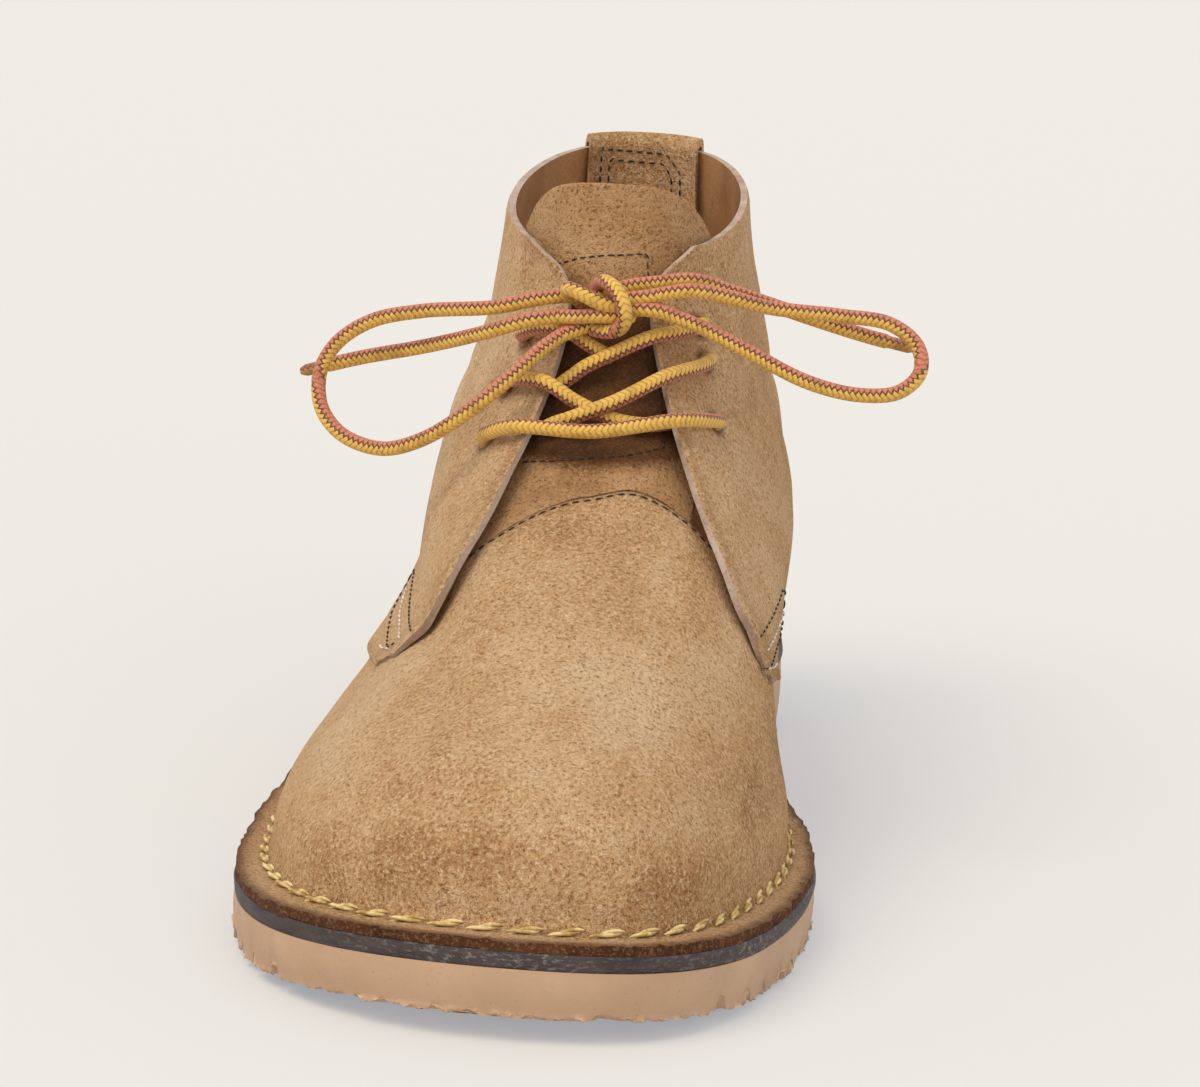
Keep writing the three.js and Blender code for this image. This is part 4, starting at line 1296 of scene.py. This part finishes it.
tab_face = tab_grid(TAB_BEND + TAB_WALL)
pull_tab = shell("heel_pull_tab", tab_face, tab_grid(TAB_BEND), [suede, suede, suede])
TAB_TONE = -0.35
vertex_values(pull_tab, "tone", np.full(len(pull_tab.data.vertices), TAB_TONE))
vertex_values(pull_tab, "wear_and_painted_shade", np.zeros(len(pull_tab.data.vertices)))


# ---- Stitches: Geometry Nodes lay a thread along each seam ----
PLY_TWIST = 2.2             # radians from the middle of a stitch to its end


def stitch_tree(name, plies):
    """A tree that lays stitches of a few twisted plies along the lines of a mesh.

    Each point of a line carries the direction that the leather faces, as the attribute out.
    """
    tree = bpy.data.node_groups.new(name, "GeometryNodeTree")
    ports = {}
    face = tree.interface
    face.new_socket("Seam", in_out="INPUT", socket_type="NodeSocketGeometry")
    for label in ("Pitch", "Length", "Thickness", "Ply spread", "Slant", "Arch"):
        ports[label] = face.new_socket(label, in_out="INPUT", socket_type="NodeSocketFloat").identifier
    ports["Thread"] = face.new_socket("Thread", in_out="INPUT", socket_type="NodeSocketMaterial").identifier
    face.new_socket("Stitches", in_out="OUTPUT", socket_type="NodeSocketGeometry")
    given = tree.nodes.new("NodeGroupInput").outputs

    def use(kind, inputs=None, **settings):
        return add_node(tree, kind, inputs, **settings)

    def calc(operation, a, b=0.0):
        return use("ShaderNodeMath", {0: a, 1: b}, operation=operation).outputs[0]

    lines = use("GeometryNodeMeshToCurve", {"Mesh": given["Seam"]}).outputs[0]
    spacing = {"Curve": lines, "Length": given["Pitch"]}
    spaced = use("GeometryNodeResampleCurve", spacing, mode="LENGTH").outputs[0]
    half = calc("MULTIPLY", given["Length"], 0.5)
    start = use("ShaderNodeCombineXYZ", {0: calc("MULTIPLY", half, -1.0)}).outputs[0]
    end = use("ShaderNodeCombineXYZ", {0: half}).outputs[0]
    plies_made = use("GeometryNodeJoinGeometry")
    for ply in range(plies):
        core = use("GeometryNodeCurvePrimitiveLine", {"Start": start, "End": end}).outputs[0]
        core = use("GeometryNodeResampleCurve", {"Curve": core, "Count": 8}).outputs[0]
        place = use("GeometryNodeInputPosition").outputs[0]
        x = use("ShaderNodeSeparateXYZ", {0: place}).outputs[0]
        share = calc("DIVIDE", x, half)
        turn = calc("ADD", calc("MULTIPLY", share, PLY_TWIST), 2 * math.pi * ply / plies)
        y = calc("MULTIPLY", calc("COSINE", turn), given["Ply spread"])
        z = calc("MULTIPLY", calc("SINE", turn), given["Ply spread"])
        from_middle = calc("MULTIPLY", share, share)
        bow = calc("MULTIPLY", calc("SUBTRACT", 1.0, from_middle), given["Arch"])
        moved = use("ShaderNodeCombineXYZ", {0: x, 1: y, 2: calc("ADD", z, bow)}).outputs[0]
        core = use("GeometryNodeSetPosition", {"Geometry": core, "Position": moved}).outputs[0]
        taper = calc("POWER", calc("MAXIMUM", calc("SUBTRACT", 1.02, from_middle), 0.02), 0.35)
        core = use("GeometryNodeSetCurveRadius", {"Curve": core, "Radius": taper}).outputs[0]
        half_thick = calc("MULTIPLY", given["Thickness"], 0.5)
        ring = use("GeometryNodeCurvePrimitiveCircle", {"Resolution": 6, "Radius": half_thick}).outputs[0]
        tapered = use("GeometryNodeInputRadius").outputs[0]
        body = {"Curve": core, "Profile Curve": ring, "Scale": tapered, "Fill Caps": True}
        tree.links.new(use("GeometryNodeCurveToMesh", body).outputs[0], plies_made.inputs[0])
    out = use("GeometryNodeInputNamedAttribute", {"Name": "out"}, data_type="FLOAT_VECTOR").outputs[0]
    tangent = use("GeometryNodeInputTangent").outputs[0]
    turned = use(
        "FunctionNodeAxesToRotation", {"Primary Axis": out, "Secondary Axis": tangent},
        primary_axis="Z", secondary_axis="X").outputs[0]
    jitter = use(
        "FunctionNodeRandomValue", {2: -0.06, 3: 0.06, "Seed": 3}, data_type="FLOAT").outputs[1]
    slant = use("ShaderNodeCombineXYZ", {2: calc("ADD", given["Slant"], jitter)}).outputs[0]
    slanting = {"Rotation": turned, "Rotate By": slant}
    slanted = use("FunctionNodeRotateRotation", slanting, rotation_space="LOCAL").outputs[0]
    laying = {"Points": spaced, "Instance": plies_made.outputs[0], "Rotation": slanted}
    placed = use("GeometryNodeInstanceOnPoints", laying).outputs[0]
    solid = use("GeometryNodeRealizeInstances", {"Geometry": placed}).outputs[0]
    smooth = use("GeometryNodeSetShadeSmooth", {"Geometry": solid}).outputs[0]
    dressed = use("GeometryNodeSetMaterial", {"Geometry": smooth, "Material": given["Thread"]}).outputs[0]
    result = tree.nodes.new("NodeGroupOutput")
    tree.links.new(dressed, result.inputs[0])
    return tree, ports


def stitches(name, seams, kind, thread, pitch, length, thickness, spread=0.0, slant=0.0, arch=0.12):
    """A piece of stitches along seams, each a (points, outward directions) pair in millimetres."""
    tree, ports = kind
    points = np.vstack([p for p, out in seams]) * MM
    outs = np.vstack([out for p, out in seams])
    edges, first = [], 0
    for p, out in seams:
        edges += [(first + i, first + i + 1) for i in range(len(p) - 1)]
        first += len(p)
    mesh = bpy.data.meshes.new(name)
    mesh.from_pydata(points.tolist(), edges, [])
    layer = mesh.attributes.new("out", "FLOAT_VECTOR", "POINT")
    layer.data.foreach_set("vector", outs.astype(np.float32).ravel())
    piece = new_object(name, mesh)
    laid = piece.modifiers.new("stitches", "NODES")
    laid.node_group = tree
    sizes = {"Pitch": pitch * MM, "Length": length * MM, "Thickness": thickness * MM,
             "Ply spread": spread * MM, "Slant": slant, "Arch": arch * MM}
    for label, value in sizes.items():
        laid[ports[label]] = value
    laid[ports["Thread"]] = thread
    baked(piece, laid)
    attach(piece, BODY)


DEGREE_RUN = 0.5            # millimetres, about, to a degree of turn


def seam_on(face, route, lift, count=60):
    """A seam through (turn, level) corners, a lift above a face of the boot, and its outward directions."""
    turn, level = np.array(route, float).T
    steps = np.hypot(np.diff(turn) * DEGREE_RUN, np.diff(level) * LEVEL_RISE)
    run = np.concatenate([[0], np.cumsum(steps)])
    even = np.linspace(0, run[-1], count)
    turn = np.radians(np.interp(even, run, turn))
    level = np.interp(even, run, level)
    return off_last(turn, level, face(turn, level) + lift), last_normal(turn, level)


single = stitch_tree("single_stitches", 1)
double = stitch_tree("twisted_stitches", 2)

# The lock stitch round the sole, in the crease of the flange.
LAP_TURN = 87.0             # the quarters lie over the vamp behind this turn
THREAD_SINK = 0.05
welt_turn = np.linspace(-math.pi, math.pi, 721)
quarter_side = np.abs(welt_turn) > math.radians(LAP_TURN)
welt_lift = np.where(quarter_side, QUARTER_LAP, 0.0)
lapped_offset = quarter_outer(welt_turn % (2 * math.pi), FOOT_LEVEL + 0 * welt_turn)
welt_offset = np.where(quarter_side, lapped_offset, SUEDE)
welt_line = foot_curve(
    welt_turn, welt_offset, flange_top_height, VAMP_EDGE_INSET, STITCH_PART + 0 * welt_turn)
welt_line[:, 2] += welt_lift - THREAD_SINK
welt_out = np.array([0.0, 0.0, 1.0]) + 0.5 * last_normal(welt_turn, 0.2 + 0 * welt_turn)
welt_out /= np.linalg.norm(welt_out, axis=1, keepdims=True)
stitches(
    "flange_stitches", [(welt_line, welt_out)], double, cream_thread,
    7.6, 7.0, 0.85, spread=0.36, slant=0.25, arch=0.25)


def quarter_surface(turn, level):
    """The quarters' outer face at a signed turn."""
    return quarter_outer(np.where(turn < 0, turn + 2 * math.pi, turn), level)


def tab_inside(turn, level):
    """The pull tab's face inside the boot."""
    return 0 * turn + TAB_MIDDLE - TAB_BEND - TAB_WALL


def turned_in(seam):
    points, out = seam
    return points, -out


# Seams as rows of (turn, level) corners.
VAMP_SEAM = [(turn, vamp_top(math.radians(turn)) - 0.03) for turn in np.linspace(-58, 56, 60)]
TONGUE_BOX = (
    (24, 6.2), (15.5, 6.26), (-1, 6.36), (-22.5, 6.44), (-16.5, 7.37), (-15.3, 7.7), (-13, 8.3),
    (-12, 8.57), (0, 8.54), (11, 8.48), (21.5, 8.36), (24, 8.3), (26, 7.3), (24, 6.2),
)
CORNER_ROWS = (
    ((63, 3.28), (66, 3.12), (72, 3.08), (78, 3.1)),
    ((78, 3.1), (81.5, 3.2), (83, 3.42), (81, 3.66), (76, 3.82)),
    ((76, 3.82), (70.5, 3.84), (63, 3.8), (53, 3.78)),
    ((-66, 3.24), (-70, 3.1), (-76, 3.1), (-80, 3.12)),
    ((-80, 3.12), (-83.5, 3.25), (-84.5, 3.5), (-82, 3.75), (-78, 3.88)),
    ((-78, 3.88), (-72, 3.86), (-66, 3.82), (-62, 3.8)),
)
WHITE_ROWS = (
    ((61, 3.45), (70, 3.44), (79, 3.45)),
    ((-68, 3.45), (-74, 3.46), (-81, 3.5)),
    ((65.5, 3.12), (69, 2.98), (71, 2.92)),
    ((-70, 3.1), (-73.5, 2.98), (-76, 2.92)),
)
TAB_BOXES = (
    ((158, 8.3), (157.5, 8.92), (187, 8.86), (195, 8.58), (195, 8.3)),
    ((163, 8.3), (162.5, 8.74), (186, 8.70), (190, 8.5), (190, 8.3)),
)
SEAM_LIFT = 0.05
vamp_seam = seam_on(vamp_outer, VAMP_SEAM, SEAM_LIFT, 160)
tongue_seam = seam_on(tongue_outer, TONGUE_BOX, SEAM_LIFT, 300)
corner_seams = [seam_on(quarter_surface, row, SEAM_LIFT) for row in CORNER_ROWS]
white_seams = [seam_on(quarter_surface, row, SEAM_LIFT) for row in WHITE_ROWS]
tab_seams = [turned_in(seam_on(tab_inside, box, -SEAM_LIFT, 160)) for box in TAB_BOXES]
stitches("vamp_stitches", [vamp_seam], single, dark_thread, 2.4, 1.6, 0.42, arch=0.1)
stitches("tongue_stitches", [tongue_seam], single, dark_thread, 2.05, 1.5, 0.38, arch=0.1)
stitches("corner_stitches", corner_seams, single, dark_thread, 3.2, 1.9, 0.45)
stitches("corner_white_stitches", white_seams, single, white_thread, 3.2, 2.2, 0.5)
stitches("tab_stitches", tab_seams, single, dark_thread, 2.3, 1.5, 0.5)


# ---- What each piece stands for ----
for piece, slot, node in (
    (rubber_sole, "sole_rubber", "outsole"),
    (dark_midsole, "midsole_rubber", "midsole"),
    (leather_insole, "insole_leather", "insole"),
    (vamp, "suede", "upper"),
    (quarters, "suede", "upper"),
    (tongue, "suede", "tongue"),
    (pull_tab, "suede", "pull_tab"),
    (bar, "lace", "lace_bar"),
    (crossing_lower, "lace", "lace_crossing_lower"),
    (crossing_upper, "lace", "lace_crossing_upper"),
    (knot, "lace", "lace_knot"),
):
    ride_and_replace(piece, slot, node)
for name, cord in cords.items():
    ride_and_replace(cord, "lace", name)
    path = smooth_route(BOW[name]) * MM


# ---- Room: a wide pale floor and soft light ----
FLOOR_HALF = 40.0           # metres
floor_material, _, floor_shader = new_material("pale_floor")
floor_shader.inputs["Base Color"].default_value = colour("B9AF9F")
floor_shader.inputs["Emission Color"].default_value = (0.88, 1.0, 1.15, 1.0)
floor_shader.inputs["Emission Strength"].default_value = 0.3
floor_shader.inputs["Roughness"].default_value = 0.9
floor_corners = FLOOR_HALF / MM * np.array([(-1, -1, 0), (1, -1, 0), (1, 1, 0), (-1, 1, 0)])
floor = mesh_object("floor", floor_corners, [(0, 1, 2, 3)], [floor_material])

bpy.context.scene.view_settings.view_transform = "Standard"
world = bpy.data.worlds.new("studio")
bpy.context.scene.world = world
world.use_nodes = True
sky = world.node_tree.nodes["Background"]
sky.inputs["Color"].default_value = (0.80, 0.815, 0.84, 1.0)
sky.inputs["Strength"].default_value = 0.93


def soft_sun(name, direction, strength, spread, tint):
    """Even light from a wide part of the sky; direction is where it comes from."""
    data = bpy.data.lights.new(name, "SUN")
    data.energy = strength
    data.angle = math.radians(spread)
    data.color = tint
    lamp = new_object(name, data)
    lamp.rotation_euler = (-Vector(direction)).to_track_quat("-Z", "Y").to_euler()


soft_sun("overhead", (-0.45, -0.45, 1.0), 1.5, 40, (1.0, 0.95, 0.86))
soft_sun("front", (0.5, -1.0, 0.6), 0.4, 40, (1.0, 0.95, 0.88))
